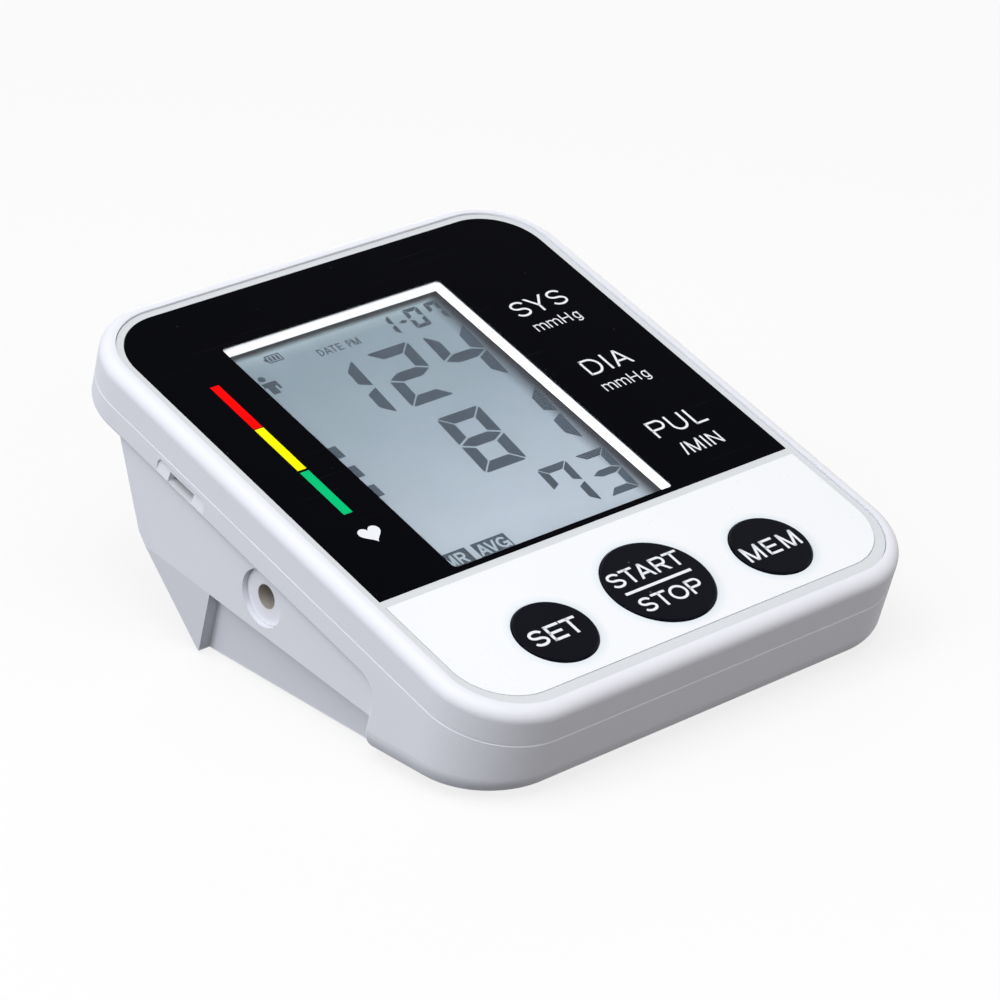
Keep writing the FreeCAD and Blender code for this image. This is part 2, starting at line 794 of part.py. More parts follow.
def make_hollows():
    """Spaces inside the tray and the base."""
    tray = new_body("tray_hollow", "face")
    pad(tray, "tray_space", "XY_Plane", "-(slab_depth - case_wall)", "rim_rise",
        lambda s: case_outline(s, "case_wall"))
    side = box("side_hollow", "face", both(f"({CHEEK} - case_wall)"),
               ("chin_length + chin_hollow", "heel_back + side_hollow_over"),
               ("-(slab_depth + side_hollow_depth)", "-parting_depth"))
    low = new_body("base_hollow", "floor")
    profile = [
        ("hollow_start", FLOOR_TOP),
        (INNER_HEEL, FLOOR_TOP),
        (INNER_BEND_Y, INNER_BEND_Z),
        wall_top(INNER_BEND_Y, INNER_BEND_Z, "parting_depth"),
        (floor_y("case_wall * 2", "-parting_depth"), floor_z("case_wall * 2", "-parting_depth")),
    ]
    pad(low, "base_space", "YZ_Plane", f"-{LOW_HALF}", LOW_HALF, lambda s: polygon(s, profile))
    return tray, side, low


def make_lip():
    """Tongue that rises inside the upper case along the parting line."""
    body = new_body("lip", "face")

    def ring(outer):
        def draw(sketch):
            case_outline(sketch, outer)
            case_outline(sketch, "case_wall + lip_gap + lip_width")
        return draw

    pad(body, "lip_foot", "XY_Plane", "-(parting_depth + lip_root)", "-(parting_depth + seam_bevel)",
        ring("lip_seat"))
    pad(body, "lip_tongue", "XY_Plane", "-(parting_depth + lip_root)", "-(parting_depth - lip_height)",
        ring("case_wall + lip_gap"))
    return body


def make_notch():
    """Scoop round the inlet in the slab's left side, running out above the slab's lower edge."""
    body = new_body("notch", "face")
    top, foot = "(notch_over - board_depth)", "(slab_round - slab_depth)"
    outside = f"-({HALF} + case_wall)"
    profile = [(outside, foot), (f"-{HALF}", foot), (f"-({HALF} - notch_depth)", top), (outside, top)]
    scoop = pad(body, "notch_scoop", "XZ_Plane", "-(port_reach + notch_width / 2)",
                "-(port_reach - notch_width / 2)", lambda s: polygon(s, profile))

    def upper_end(edge):
        run = edge.Vertexes[0].Point.x - edge.Vertexes[-1].Point.x
        return level(edge, number(top)) and abs(run) > TINY

    ends = edges_where(scoop.Shape, upper_end)
    soften(body, "Fillet", "Radius", "notch_fillet", scoop, ends, "notch_round")
    return body


def make_bottom_case():
    outer = fuse("bottom_outer", make_tray(), make_base())
    shell = cut("bottom_shell", outer, *make_hollows())

    def post(name, radius, x, y, low, high):
        return rod(name, "face", radius, f"({high}) - ({low})", x, y, low)

    bosses = [post(f"boss_{i}", "well_radius", x, y, f"-{DEEP}", "-parting_depth")
              for i, (x, y) in enumerate(BOSSES)]
    ribs = [box(f"rib_{i}", "floor", (x, f"{x} + rib_width"), ("bay_end", BEND_Y),
                ("foot_gap", "pump_height"))
            for i, x in enumerate(RIBS)]
    bay = box("bay_block", "floor", both("(bay_half + bay_wall)"),
              ("bay_start - bay_wall", "bay_end + bay_wall"), ("foot_gap", "bay_top"))
    housing = box("hinge_housing", "floor", both(f"({OPEN_HALF} + pin_length + bay_wall)"),
                  (f"{OPEN_START} - bay_wall", "bay_start"),
                  ("foot_gap", f"{PIVOT_Z} + barrel_radius + door_gap + bay_wall"))
    socket_boss = rod("socket_boss", "floor", "socket_boss_radius", f"{CHEEK} - case_wall / 2 - {LOW_HALF}",
                      f"-({CHEEK} - case_wall / 2)", "socket_back", "socket_height", "x")
    inside = common("inside_bosses", outer, fuse("all_bosses", *bosses, *ribs))
    body = fuse("bottom_body", shell, inside, bay, housing, socket_boss, make_lip())

    far = f"-{DEEP}"
    seat_level = "-(parting_depth + boss_web)"
    cuts = [post(f"screw_way_{i}", "screw_radius + screw_play", x, y, seat_level, "rim_rise")
            for i, (x, y) in enumerate(BOSSES)]
    cuts += [post(f"head_way_{i}", "head_radius + head_play", x, y, far, seat_level)
             for i, (x, y) in enumerate(BOSSES)]
    cuts += [rod(f"foot_seat_{i}", "floor", "foot_radius + foot_play", "foot_gap + foot_recess", x, y, "0")
             for i, (x, y) in enumerate(FEET)]
    cuts.append(box("bay_space", "floor", both("bay_half"), ("bay_start", "bay_end"), ("0", "bay_roof")))
    cuts.append(box("door_rabbet", "floor", both(OPEN_HALF), (OPEN_START, OPEN_END), ("0", "ledge_height")))
    cuts.append(box("barrel_way", "floor", both(OPEN_HALF), (OPEN_START, "bay_start - bay_wall"),
                    ("0", f"{PIVOT_Z} + barrel_radius + door_gap")))
    cuts.append(rod("pin_way", "floor", "pin_radius + pin_play", f"({OPEN_HALF} + pin_length) * 2",
                    f"-({OPEN_HALF} + pin_length)", PIVOT_Y, PIVOT_Z, "x"))
    cuts.append(rod("pump_way", "floor", "pump_radius + cushion_wall + cushion_play * 2",
                    "motor_length + pump_head_length", PUMP_HEAD_X, "pump_back", "pump_height", "x"))
    cuts.append(rod("dish", "floor", "dish_radius", "cheek_inset + dish_depth + socket_flange",
                    f"-{HALF}", "socket_back", "socket_height", "x"))
    cuts.append(rod("socket_way", "floor", "socket_tube_radius + socket_play",
                    f"{HALF} - {LOW_HALF} + case_wall", f"-{HALF}", "socket_back", "socket_height", "x"))
    cuts.append(make_notch())
    for name, start, end, margin in (
            ("port_seat", f"{PORT_X}", f"{PORT_X} + port_depth + port_play", "port_play"),
            ("port_mouth", f"-({HALF} + case_wall)", f"{PORT_X}", "(mouth_play - port_sheet)")):
        cuts.append(box(name, "face", (start, end),
                        (f"port_reach - port_width / 2 - {margin}", f"port_reach + port_width / 2 + {margin}"),
                        (f"{PORT_TOP} - port_height - {margin}", f"{PORT_TOP} + {margin}")))
    node(cut("bottom_case", body, *cuts), "bottom_case")


# Panels on the face

def make_panels():
    film = new_body("border_film", "face")

    def film_outline(sketch):
        case_outline(sketch, "rim_width + film_gap")
        window(sketch, "0")
        key_holes(sketch)

    def panel_sheet(sketch, low, high, front, margin):
        """Outline of one panel, rounded at the front or the rear, widened by a margin."""
        corner = f"(corner_radius - panel_inset + {margin})"
        half = f"(case_half - panel_inset + {margin})"
        rounded(sketch, f"-{half}", half, f"({low} - {margin})", f"({high} + {margin})",
                [corner, corner, None, None] if front else [None, None, corner, corner])

    def display_sheet(sketch, margin):
        panel_sheet(sketch, "display_start", "(case_length - panel_inset)", False, margin)

    def key_sheet(sketch, margin):
        panel_sheet(sketch, "(rim_width + border_front)", "(display_start - band_width)", True, margin)

    def border_outline(sketch):
        case_outline(sketch, "rim_width + film_gap")
        display_sheet(sketch, "panel_play")
        key_sheet(sketch, "panel_play")

    pad(film, "film_sheet", "XY_Plane", DECK_TOP, FILM_TOP, film_outline)
    pad(film, "film_border", "XY_Plane", FILM_TOP, "-border_drop", border_outline)
    node(film, "border_film")
    display = new_body("display_panel", "face")

    def display_outline(sketch):
        display_sheet(sketch, "0")
        window(sketch, "0")

    pad(display, "display_sheet", "XY_Plane", FILM_TOP, "0", display_outline)
    node(display, "display_panel")

    pane = new_body("display_window", "face")
    pad(pane, "window_sheet", "XY_Plane", FILM_TOP, "0", lambda s: window(s, "-window_play"))
    node(pane, "display_window")

    keypad = new_body("key_panel", "face")

    def keypad_outline(sketch):
        key_sheet(sketch, "0")
        key_holes(sketch)

    pad(keypad, "keypad_sheet", "XY_Plane", FILM_TOP, "0", keypad_outline)
    node(keypad, "key_panel")


# Display stack behind the window

def make_display():
    holder_edge = "(glass_margin + holder_gap)"

    def frame_of(inner, outer):
        def draw(sketch):
            for margin in (outer, inner):
                window_frame(sketch, margin)
        return draw

    gasket = new_body("display_gasket", "face")
    pad(gasket, "gasket_ring", "XY_Plane", GLASS_TOP, DECK_UNDER, frame_of("gasket_margin", "glass_margin"))
    node(gasket, "display_gasket")
    glass = new_body("display_glass", "face")
    pad(glass, "glass_plate", "XY_Plane", GLASS_UNDER, GLASS_TOP, lambda s: window_frame(s, "glass_margin"))
    node(glass, "display_glass")
    holder = new_body("display_holder", "face")
    pad(holder, "holder_ring", "XY_Plane", BOARD_TOP, DECK_UNDER,
        frame_of(holder_edge, f"{holder_edge} + holder_wall"))
    node(holder, "display_holder")
    inset = "(glass_margin - strip_inset)"
    across = (f"{WINDOW_LEFT} - {inset}", f"{WINDOW_RIGHT} + {inset}")
    spans = (
        (f"{WINDOW_START} - {inset}", f"{WINDOW_START} - {inset} + strip_width"),
        (f"{WINDOW_END} + {inset} - strip_width", f"{WINDOW_END} + {inset}"),
    )
    strips = [box(f"strip_{i}", "face", across, span, (BOARD_TOP, GLASS_UNDER))
              for i, span in enumerate(spans)]
    node(group("strips", strips), "connector_strips")


# Keys, plungers and switches

def make_keys():
    switches = []
    for name, x, y, radius in KEYS:
        body = new_body(f"{name}_key", "face")
        pad(body, f"{name}_flange", "XY_Plane", FLANGE_UNDER, FLANGE_TOP,
            lambda s: circle(s, x, y, f"{radius} + key_flange"))
        cap = pad(body, f"{name}_cap", "XY_Plane", FLANGE_UNDER, "key_rise",
                  lambda s: circle(s, x, y, radius))
        rim = edges_where(cap.Shape, lambda edge: level(edge, number("key_rise")))
        soften(body, "Fillet", "Radius", f"{name}_round", cap, rim, "key_round")
        node(body, f"{name}_button")
        stem = rod(f"{name}_stem", "face", "plunger_radius", "switch_gap + plunger_depth",
                   x, y, f"{SWITCH_TOP} - plunger_depth")
        node(stem, f"{name}_plunger")
        block = box(f"{name}_switch_block", "face", (f"{x} - switch_width / 2", f"{x} + switch_width / 2"),
                    (f"{y} - switch_width / 2", f"{y} + switch_width / 2"), (BOARD_TOP, SWITCH_TOP))
        well = rod(f"{name}_switch_well", "face", "plunger_radius + plunger_play",
                   "plunger_well + case_wall", x, y, f"{SWITCH_TOP} - plunger_well")
        switches.append(cut(f"{name}_switch", block, well))
    node(group("switches", switches), "key_switches")


# Main board and what is soldered to it

def make_board():
    body = new_body("main_board", "face")
    tab_end = f"-({HALF} - case_wall - lip_gap - lip_width - tab_gap)"
    tab_low, tab_high = "port_reach - port_tab / 2", "port_reach + port_tab / 2"

    def outline(sketch):
        polygon(sketch, [
            ("-board_half", "board_front"),
            ("board_half", "board_front"),
            ("board_half", BOARD_END),
            ("-board_half", BOARD_END),
            ("-board_half", tab_high),
            (tab_end, tab_high),
            (tab_end, tab_low),
            ("-board_half", tab_low),
        ])
        for x, y in POSTS:
            circle(sketch, x, y, "board_screw_radius + screw_play")

    pad(body, "board_sheet", "XY_Plane", BOARD_UNDER, BOARD_TOP, outline)
    node(body, "main_board")

    def chip(name, x, y, size, height):
        return box(name, "face", (f"{x} - {size} / 2", f"{x} + {size} / 2"),
                   (f"{y} - {size} / 2", f"{y} + {size} / 2"), (f"{BOARD_UNDER} - {height}", BOARD_UNDER))

    node(chip("processor_chip", "(board_half - processor_inset)", "processor_reach", "processor_size",
              "processor_height"), "processor")
    node(rod("buzzer_disc", "face", "buzzer_radius", "buzzer_height", "board_half - buzzer_inset",
             "buzzer_reach", f"{BOARD_UNDER} - buzzer_height"), "buzzer")
    places = [(f"(board_half - small_part_inset + {across} * small_part_pitch)",
               f"(small_part_reach + {up} * small_part_pitch)")
              for across in (0, 1) for up in (0, 1, 2)]
    chips = [chip(f"small_part_{i}", x, y, "small_part_size", "small_part_height")
             for i, (x, y) in enumerate(places)]
    node(group("small_parts", chips), "board_parts")


def make_port():
    """Micro USB inlet under the board's side tab, in the notch of the case."""
    body = new_body("usb_port", "face")

    def profile(inset):
        low = f"({PORT_TOP} - port_height + {inset})"
        high = f"({PORT_TOP} - {inset})"
        half = f"(port_width / 2 - {inset})"
        return lambda s: polygon(s, [
            (f"port_reach - {half} + port_bevel", low),
            (f"port_reach + {half} - port_bevel", low),
            (f"port_reach + {half}", f"{low} + port_bevel"),
            (f"port_reach + {half}", high),
            (f"port_reach - {half}", high),
            (f"port_reach - {half}", f"{low} + port_bevel"),
        ])

    end = f"{PORT_X} + port_depth"
    pad(body, "port_shell", "YZ_Plane", PORT_X, end, profile("0"))
    pocket(body, "port_space", "YZ_Plane", f"{PORT_X} - case_wall", f"{end} - port_sheet",
           profile("port_sheet"))
    node(body, "usb_port")
    middle = f"({PORT_TOP} - port_height / 2)"
    node(box("tongue", "face", (f"{end} - port_sheet - tongue_length", f"{end} - port_sheet"),
             ("port_reach - tongue_width / 2", "port_reach + tongue_width / 2"),
             (f"{middle} - tongue_height / 2", f"{middle} + tongue_height / 2")), "usb_contacts")


# Air circuit

def tube(name, bore, x, y, z, length, along):
    """Hose of a given bore over two barbs."""
    outer = rod(name + "_outer", "floor", f"{bore} + hose_wall", length, x, y, z, along)
    inner = rod(name + "_inner", "floor", bore, length, x, y, z, along)
    return cut(name, outer, inner)


HOSE_BORE = "(barb_radius + hose_play)"
JOIN = "(2 * barb_length + hose_gap)"
HOSE_LENGTH = f"({JOIN} - 2 * hose_play)"
MANIFOLD_LEFT = "(-manifold_side - manifold_half)"
MANIFOLD_RIGHT = "(-manifold_side + manifold_half)"
SENSOR_X = f"({MANIFOLD_RIGHT} + {JOIN})"
VALVE_TOP = f"({FLOOR_TOP} + valve_height)"
PUMP_BARB_END = f"(socket_back + manifold_half + {JOIN})"


def make_socket():
    """Socket in the left side that takes the plug of the arm cuff's hose."""
    at = ("socket_back", "socket_height", "x")
    flange = rod("socket_flange_disc", "floor", "dish_radius - socket_play", "socket_flange", DISH_X, *at)
    tail = rod("socket_tail", "floor", "socket_tube_radius", "socket_tube_length",
               f"{DISH_X} + socket_flange", *at)
    barb = rod("socket_barb", "floor", "barb_radius", "socket_barb_length", SOCKET_END, *at)
    bore = rod("socket_bore", "floor", "socket_bore_radius",
               "socket_flange + socket_tube_length - socket_end_wall", DISH_X, *at)
    thin = rod("socket_thin_bore", "floor", "barb_bore",
               "socket_flange + socket_tube_length + socket_barb_length", DISH_X, *at)
    node(cut("socket", fuse("socket_body", flange, tail, barb), bore, thin), "air_socket")


def make_manifold():
    """Four-way block that joins socket, pump, sensor and valve."""
    half = "manifold_half"
    block = box("manifold_block", "floor", (MANIFOLD_LEFT, MANIFOLD_RIGHT),
                (f"socket_back - {half}", f"socket_back + {half}"),
                (f"socket_height - {half}", f"socket_height + {half}"))
    across = f"2 * ({half} + barb_length)"
    barb_x = rod("manifold_barb_x", "floor", "barb_radius", across, f"{MANIFOLD_LEFT} - barb_length",
                 "socket_back", "socket_height", "x")
    bore_x = rod("manifold_bore_x", "floor", "barb_bore", across, f"{MANIFOLD_LEFT} - barb_length",
                 "socket_back", "socket_height", "x")
    barb_y = rod("manifold_barb_y", "floor", "barb_radius", f"{half} + barb_length", "-manifold_side",
                 "socket_back", "socket_height", "y")
    bore_y = rod("manifold_bore_y", "floor", "barb_bore", f"{half} + barb_length", "-manifold_side",
                 "socket_back", "socket_height", "y")
    drop = f"(socket_height - {VALVE_TOP} - (socket_height - {half} - {VALVE_TOP}) / 2 - hose_gap / 2)"
    barb_z = rod("manifold_barb_z", "floor", "barb_radius", drop, "-manifold_side", "socket_back",
                 f"socket_height - {drop}")
    bore_z = rod("manifold_bore_z", "floor", "barb_bore", drop, "-manifold_side", "socket_back",
                 f"socket_height - {drop}")
    body = fuse("manifold_body", block, barb_x, barb_y, barb_z)
    node(cut("manifold", body, bore_x, bore_y, bore_z), "air_manifold")


def make_hoses():
    left = tube("socket_hose_tube", HOSE_BORE, f"{SOCKET_END} + hose_play", "socket_back", "socket_height",
                f"{MANIFOLD_LEFT} - {SOCKET_END} - 2 * hose_play", "x")
    right = tube("sensor_hose_tube", HOSE_BORE, f"{MANIFOLD_RIGHT} + hose_play", "socket_back",
                 "socket_height", HOSE_LENGTH, "x")
    back = tube("pump_hose_tube", HOSE_BORE, "-manifold_side", "socket_back + manifold_half + hose_play",
                "socket_height", HOSE_LENGTH, "y")
    down = tube("valve_hose_tube", HOSE_BORE, "-manifold_side", "socket_back", f"{VALVE_TOP} + hose_play",
                f"socket_height - manifold_half - {VALVE_TOP} - 2 * hose_play", "z")
    node(left, "socket_hose")
    node(right, "sensor_hose")
    node(back, "pump_hose")
    node(down, "valve_hose")


def make_pump():
    axis = ("pump_back", "pump_height", "x")
    can = rod("motor_can", "floor", "pump_radius", "motor_length", MOTOR_X, *axis)
    tail = rod("motor_tail_boss", "floor", "motor_tail_radius", "motor_length + motor_tail", MOTOR_X, *axis)
    shaft_way = rod("shaft_way", "floor", "shaft_radius + shaft_play", "shaft_bite + shaft_play",
                    MOTOR_X, *axis)
    node(cut("motor", fuse("motor_body", can, tail), shaft_way), "pump_motor")

    head = rod("head_block", "floor", "pump_radius", "pump_head_length", PUMP_HEAD_X, *axis)
    barb = rod("head_barb", "floor", "barb_radius", f"pump_back - {PUMP_BARB_END} + barb_length",
               "-manifold_side", f"{PUMP_BARB_END} - barb_length", "socket_height", "y")
    bore = rod("head_bore", "floor", "barb_bore", f"pump_back - {PUMP_BARB_END} + barb_length",
               "-manifold_side", f"{PUMP_BARB_END} - barb_length", "socket_height", "y")
    room = rod("cam_room", "floor", "cam_room_radius", "cam_room_length",
               f"{MOTOR_X} - cam_room_length", *axis)
    node(cut("head", fuse("head_body", head, barb), bore, room), "pump_head")

    cam_x = f"({MOTOR_X} - (cam_room_length + cam_width) / 2)"
    cam = rod("cam_disc", "floor", "cam_radius", "cam_width", cam_x, "pump_back",
              "pump_height + cam_throw", "x")
    shaft = rod("cam_shaft", "floor", "shaft_radius", f"{MOTOR_X} + shaft_bite - {cam_x}", cam_x, *axis)
    node(fuse("cam", cam, shaft), "pump_cam")

    bands = []
    for i, x in enumerate(RIBS):
        start = f"{x} + (rib_width - cushion_width) / 2"
        outer = rod(f"cushion_outer_{i}", "floor", "pump_radius + cushion_play + cushion_wall",
                    "cushion_width", start, *axis)
        inner = rod(f"cushion_inner_{i}", "floor", "pump_radius + cushion_play",
                    "cushion_width", start, *axis)
        bands.append(cut(f"cushion_{i}", outer, inner))
    node(group("cushions", bands), "pump_cushions")


def make_valve():
    at = ("-manifold_side", "socket_back")
    body = rod("valve_can", "floor", "valve_radius", "valve_height", *at, FLOOR_TOP)
    reach = f"(socket_height - manifold_half - {VALVE_TOP}) / 2 - hose_gap / 2"
    barb = rod("valve_barb", "floor", "barb_radius", reach, *at, VALVE_TOP)
    bore = rod("valve_bore", "floor", "barb_bore", f"valve_height + {reach}", *at, FLOOR_TOP)
    well = rod("valve_way", "floor", "valve_pin_radius + valve_pin_play", "valve_well", *at, FLOOR_TOP)
    node(cut("valve", fuse("valve_whole", body, barb), bore, well), "exhaust_valve")
    node(rod("valve_pin", "floor", "valve_pin_radius", "valve_pin_length", *at,
             f"{FLOOR_TOP} + valve_pin_lift"), "valve_plunger")


def make_sensor():
    half = "sensor_length / 2"
    block = box("sensor_block", "floor", (SENSOR_X, f"{SENSOR_X} + sensor_length"),
                (f"socket_back - {half}", f"socket_back + {half}"), ("bay_top", "bay_top + sensor_height"))
    at = (f"{SENSOR_X} - barb_length", "socket_back", "socket_height", "x")
    barb = rod("sensor_barb", "floor", "barb_radius", f"barb_length + {half}", *at)
    bore = rod("sensor_bore", "floor", "barb_bore", f"barb_length + {half}", *at)
    node(cut("sensor", fuse("sensor_body", block, barb), bore), "pressure_sensor")


# Cells, contacts and the battery door

def make_power():
    cells, contacts = [], []
    pitch = "(2 * cell_radius + cell_gap)"
    cell_start = "(bay_start + contact_room)"
    body_length = "(cell_length - cell_nipple)"
    for i in range(4):
        x = f"(({i} - 1.5) * {pitch})"
        nipple_in_front = i % 2 == 0
        start = f"({cell_start} + cell_nipple)" if nipple_in_front else cell_start
        can = rod(f"cell_can_{i}", "floor", "cell_radius", body_length, x, start, CELL_Z, "y")
        nub = rod(f"cell_nub_{i}", "floor", "cell_nipple_radius", "cell_length", x, cell_start, CELL_Z, "y")
        cells.append(fuse(f"cell_{i}", can, nub))
        for end, wall, plate_start, along in (
                ("front", "bay_start", "bay_start", "y"),
                ("rear", "bay_end", "bay_end - contact_plate", "-y")):
            plate = box(f"plate_{end}_{i}", "floor", (f"{x} - contact_half", f"{x} + contact_half"),
                        (plate_start, f"{plate_start} + contact_plate"),
                        (f"{CELL_Z} - contact_half", f"{CELL_Z} + contact_half"))
            dome = doc.addObject("Part::Cone", f"dome_{end}_{i}")
            bind(dome, "Radius1", "contact_dome")
            bind(dome, "Radius2", "contact_tip")
            bind(dome, "Height", "contact_room - contact_gap")
            seat(dome, "floor", x, wall, CELL_Z, along)
            contacts.append(fuse(f"contact_{end}_{i}", plate, dome))
    node(group("cells", cells), "battery_cells")
    node(group("contacts", contacts), "battery_contacts")


def make_door():
    half = f"({OPEN_HALF} - door_gap)"
    end = f"({OPEN_END} - door_gap)"
    plate = box("door_plate", "floor", both(half), (PIVOT_Y, end),
                ("foot_gap", "foot_gap + door_thickness"))
    barrel = rod("door_barrel", "floor", "barrel_radius", f"2 * {half}", f"-{half}", PIVOT_Y, PIVOT_Z, "x")
    pin_half = f"({half} + pin_length)"
    pin = rod("door_pin", "floor", "pin_radius", f"2 * {pin_half}", f"-{pin_half}", PIVOT_Y, PIVOT_Z, "x")
    thumb = rod("thumb_dip", "floor", "thumb_radius", "foot_gap + thumb_depth", "0",
                f"{end} - thumb_inset", "0")
    node(cut("door", fuse("door_body", plate, barrel, pin), thumb), "battery_door")


# Wires, screws and feet

def make_wires():
    """Straight leads that rise square to the board from the parts below it."""
    starts = [("battery_wire_side", "bay_start + contact_room", "bay_top"),
              ("-battery_wire_side", "bay_start + contact_room", "bay_top")]
    starts += [(f"{SENSOR_X} + sensor_length / 2 + ({i} * wire_pitch)", "socket_back",
                "bay_top + sensor_height") for i in (-1, 0, 1)]
    starts += [(f"-manifold_side + ({i} * wire_pitch / 2)", "socket_back - valve_wire_reach", VALVE_TOP)
               for i in (-1, 1)]
    starts += [(f"{MOTOR_X} + motor_length + motor_tail / 2", f"pump_back + ({i} * wire_pitch / 2)",
                "pump_height + motor_tail_radius") for i in (-1, 1)]
    wires = []
    for i, (x, y, top) in enumerate(starts):
        z = f"{top} + wire_radius * {SIN}"
        wires.append(rod(f"wire_{i}", "face", "wire_radius", f"{BOARD_UNDER} - {face_z(y, z)}",
                         x, face_y(y, z), face_z(y, z)))
    node(group("wires", wires), "hookup_wires")


def make_fasteners():
    seat_level = "-(parting_depth + boss_web)"
    screws = []
    for i, (x, y) in enumerate(BOSSES):
        shank = rod(f"shank_{i}", "face", "screw_radius", "boss_web + screw_bite", x, y, seat_level)
        head = rod(f"head_{i}", "face", "head_radius", "head_height", x, y, f"{seat_level} - head_height")
        depth = (f"{seat_level} - head_height", f"{seat_level} - head_height + slot_depth")
        long = ("- slot_length / 2", "+ slot_length / 2")
        thin = ("- slot_width / 2", "+ slot_width / 2")
        slots = [box(f"slot_{i}_{j}", "face", tuple(f"{x} {part}" for part in wide),
                     tuple(f"{y} {part}" for part in tall), depth)
                 for j, (wide, tall) in enumerate(((long, thin), (thin, long)))]
        screws.append(cut(f"case_screw_{i}", fuse(f"case_screw_body_{i}", shank, head), *slots))
    node(group("case_screw_set", screws), "case_screws")
    small = []
    for i, (x, y) in enumerate(POSTS):
        shank = rod(f"board_shank_{i}", "face", "board_screw_radius", "board_thickness + board_screw_bite",
                    x, y, BOARD_UNDER)
        head = rod(f"board_head_{i}", "face", "board_head_radius", "board_head_height", x, y,
                   f"{BOARD_UNDER} - board_head_height")
        small.append(fuse(f"board_screw_{i}", shank, head))
    node(group("board_screw_set", small), "board_screws")
    feet = [rod(f"foot_{i}", "floor", "foot_radius", "foot_gap + foot_recess", x, y, "0")
            for i, (x, y) in enumerate(FEET)]
    node(group("feet", feet), "rubber_feet")


make_top_case()
make_bottom_case()
make_panels()
make_display()
make_keys()
make_board()
make_port()
make_socket()
make_manifold()
make_hoses()
make_pump()
make_valve()
make_sensor()
make_power()
make_door()
make_wires()
make_fasteners()
doc.recompute()

# Every object must have built, and every sub-part must be sound, before anything is written
for thing in doc.Objects:
    if "Invalid" in thing.State or "Error" in thing.State:
        raise RuntimeError(f"{thing.Name} did not build: {thing.State}")
for thing in nodes:
    if thing.Shape.isNull() or not thing.Shape.isValid() or not thing.Shape.Solids:
        raise RuntimeError(f"{thing.Label} has no sound shape")

os.makedirs("parts", exist_ok=True)
for thing in nodes:
    thing.Shape.exportStep(f"parts/{thing.Label}.step")
    extent = thing.Shape.BoundBox
    print(f"{thing.Label}: {len(thing.Shape.Solids)} solids, {thing.Shape.Volume:.1f} mm3, "
          f"x {extent.XMin:.2f} {extent.XMax:.2f}, y {extent.YMin:.2f} {extent.YMax:.2f}, "
          f"z {extent.ZMin:.2f} {extent.ZMax:.2f}")
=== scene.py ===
"""Looks of the home blood pressure monitor: finishes, printed words, the display's reading and the studio."""
import math

import bpy
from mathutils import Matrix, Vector


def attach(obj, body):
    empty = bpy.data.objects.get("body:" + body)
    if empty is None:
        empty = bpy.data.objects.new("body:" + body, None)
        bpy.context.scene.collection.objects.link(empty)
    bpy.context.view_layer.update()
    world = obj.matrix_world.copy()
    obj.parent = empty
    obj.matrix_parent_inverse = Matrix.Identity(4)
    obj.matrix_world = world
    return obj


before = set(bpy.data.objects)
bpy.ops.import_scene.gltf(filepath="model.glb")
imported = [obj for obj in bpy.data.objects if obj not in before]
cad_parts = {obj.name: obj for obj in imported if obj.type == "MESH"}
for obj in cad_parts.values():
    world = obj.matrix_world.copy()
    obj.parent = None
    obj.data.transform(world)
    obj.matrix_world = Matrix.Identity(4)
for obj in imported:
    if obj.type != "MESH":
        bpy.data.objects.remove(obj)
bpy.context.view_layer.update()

MM = 0.001

# The display face: its front edge, its tilt and its axes
FACE_TILT = math.radians(17.25)
FACE_EDGE = Vector((0.0, -61.105, 18.0)) * MM
FACE_UP = Vector((0.0, math.cos(FACE_TILT), math.sin(FACE_TILT)))
FACE_OUT = Vector((0.0, -math.sin(FACE_TILT), math.cos(FACE_TILT)))

# Heights above the panel surface, and the thickness of a print, in millimetres
PANEL_TOP = 0.0
KEY_TOP = 0.4
GLASS_TOP = -3.3
INK = 0.03

# Outline of the display window across and up the face, in millimetres
WINDOW_LEFT, WINDOW_RIGHT = -30.95, 21.25
WINDOW_FRONT, WINDOW_REAR = 37.4, 106.25

# Middle of each key, across and up the face, and its radius, in millimetres
KEYS = {"set": (-25.8, 16.1, 7.7), "start": (0.0, 18.0, 10.5), "memory": (25.8, 16.1, 7.7)}

# Bore of the air socket: its distance back, its height and its radius, in millimetres
BORE_BACK, BORE_UP, BORE_RADIUS = 2.195, 19.9, 2.3

# Part of a noise's range from 0 to 1 that it mostly keeps to
NOISE_LOW, NOISE_HIGH = 0.2, 0.8


def on_face(across, up, out=0.0):
    """Point of the object from millimetres across, up and out of the display face."""
    return FACE_EDGE + (Vector((across, 0.0, 0.0)) + up * FACE_UP + out * FACE_OUT) * MM


# Shader nodes

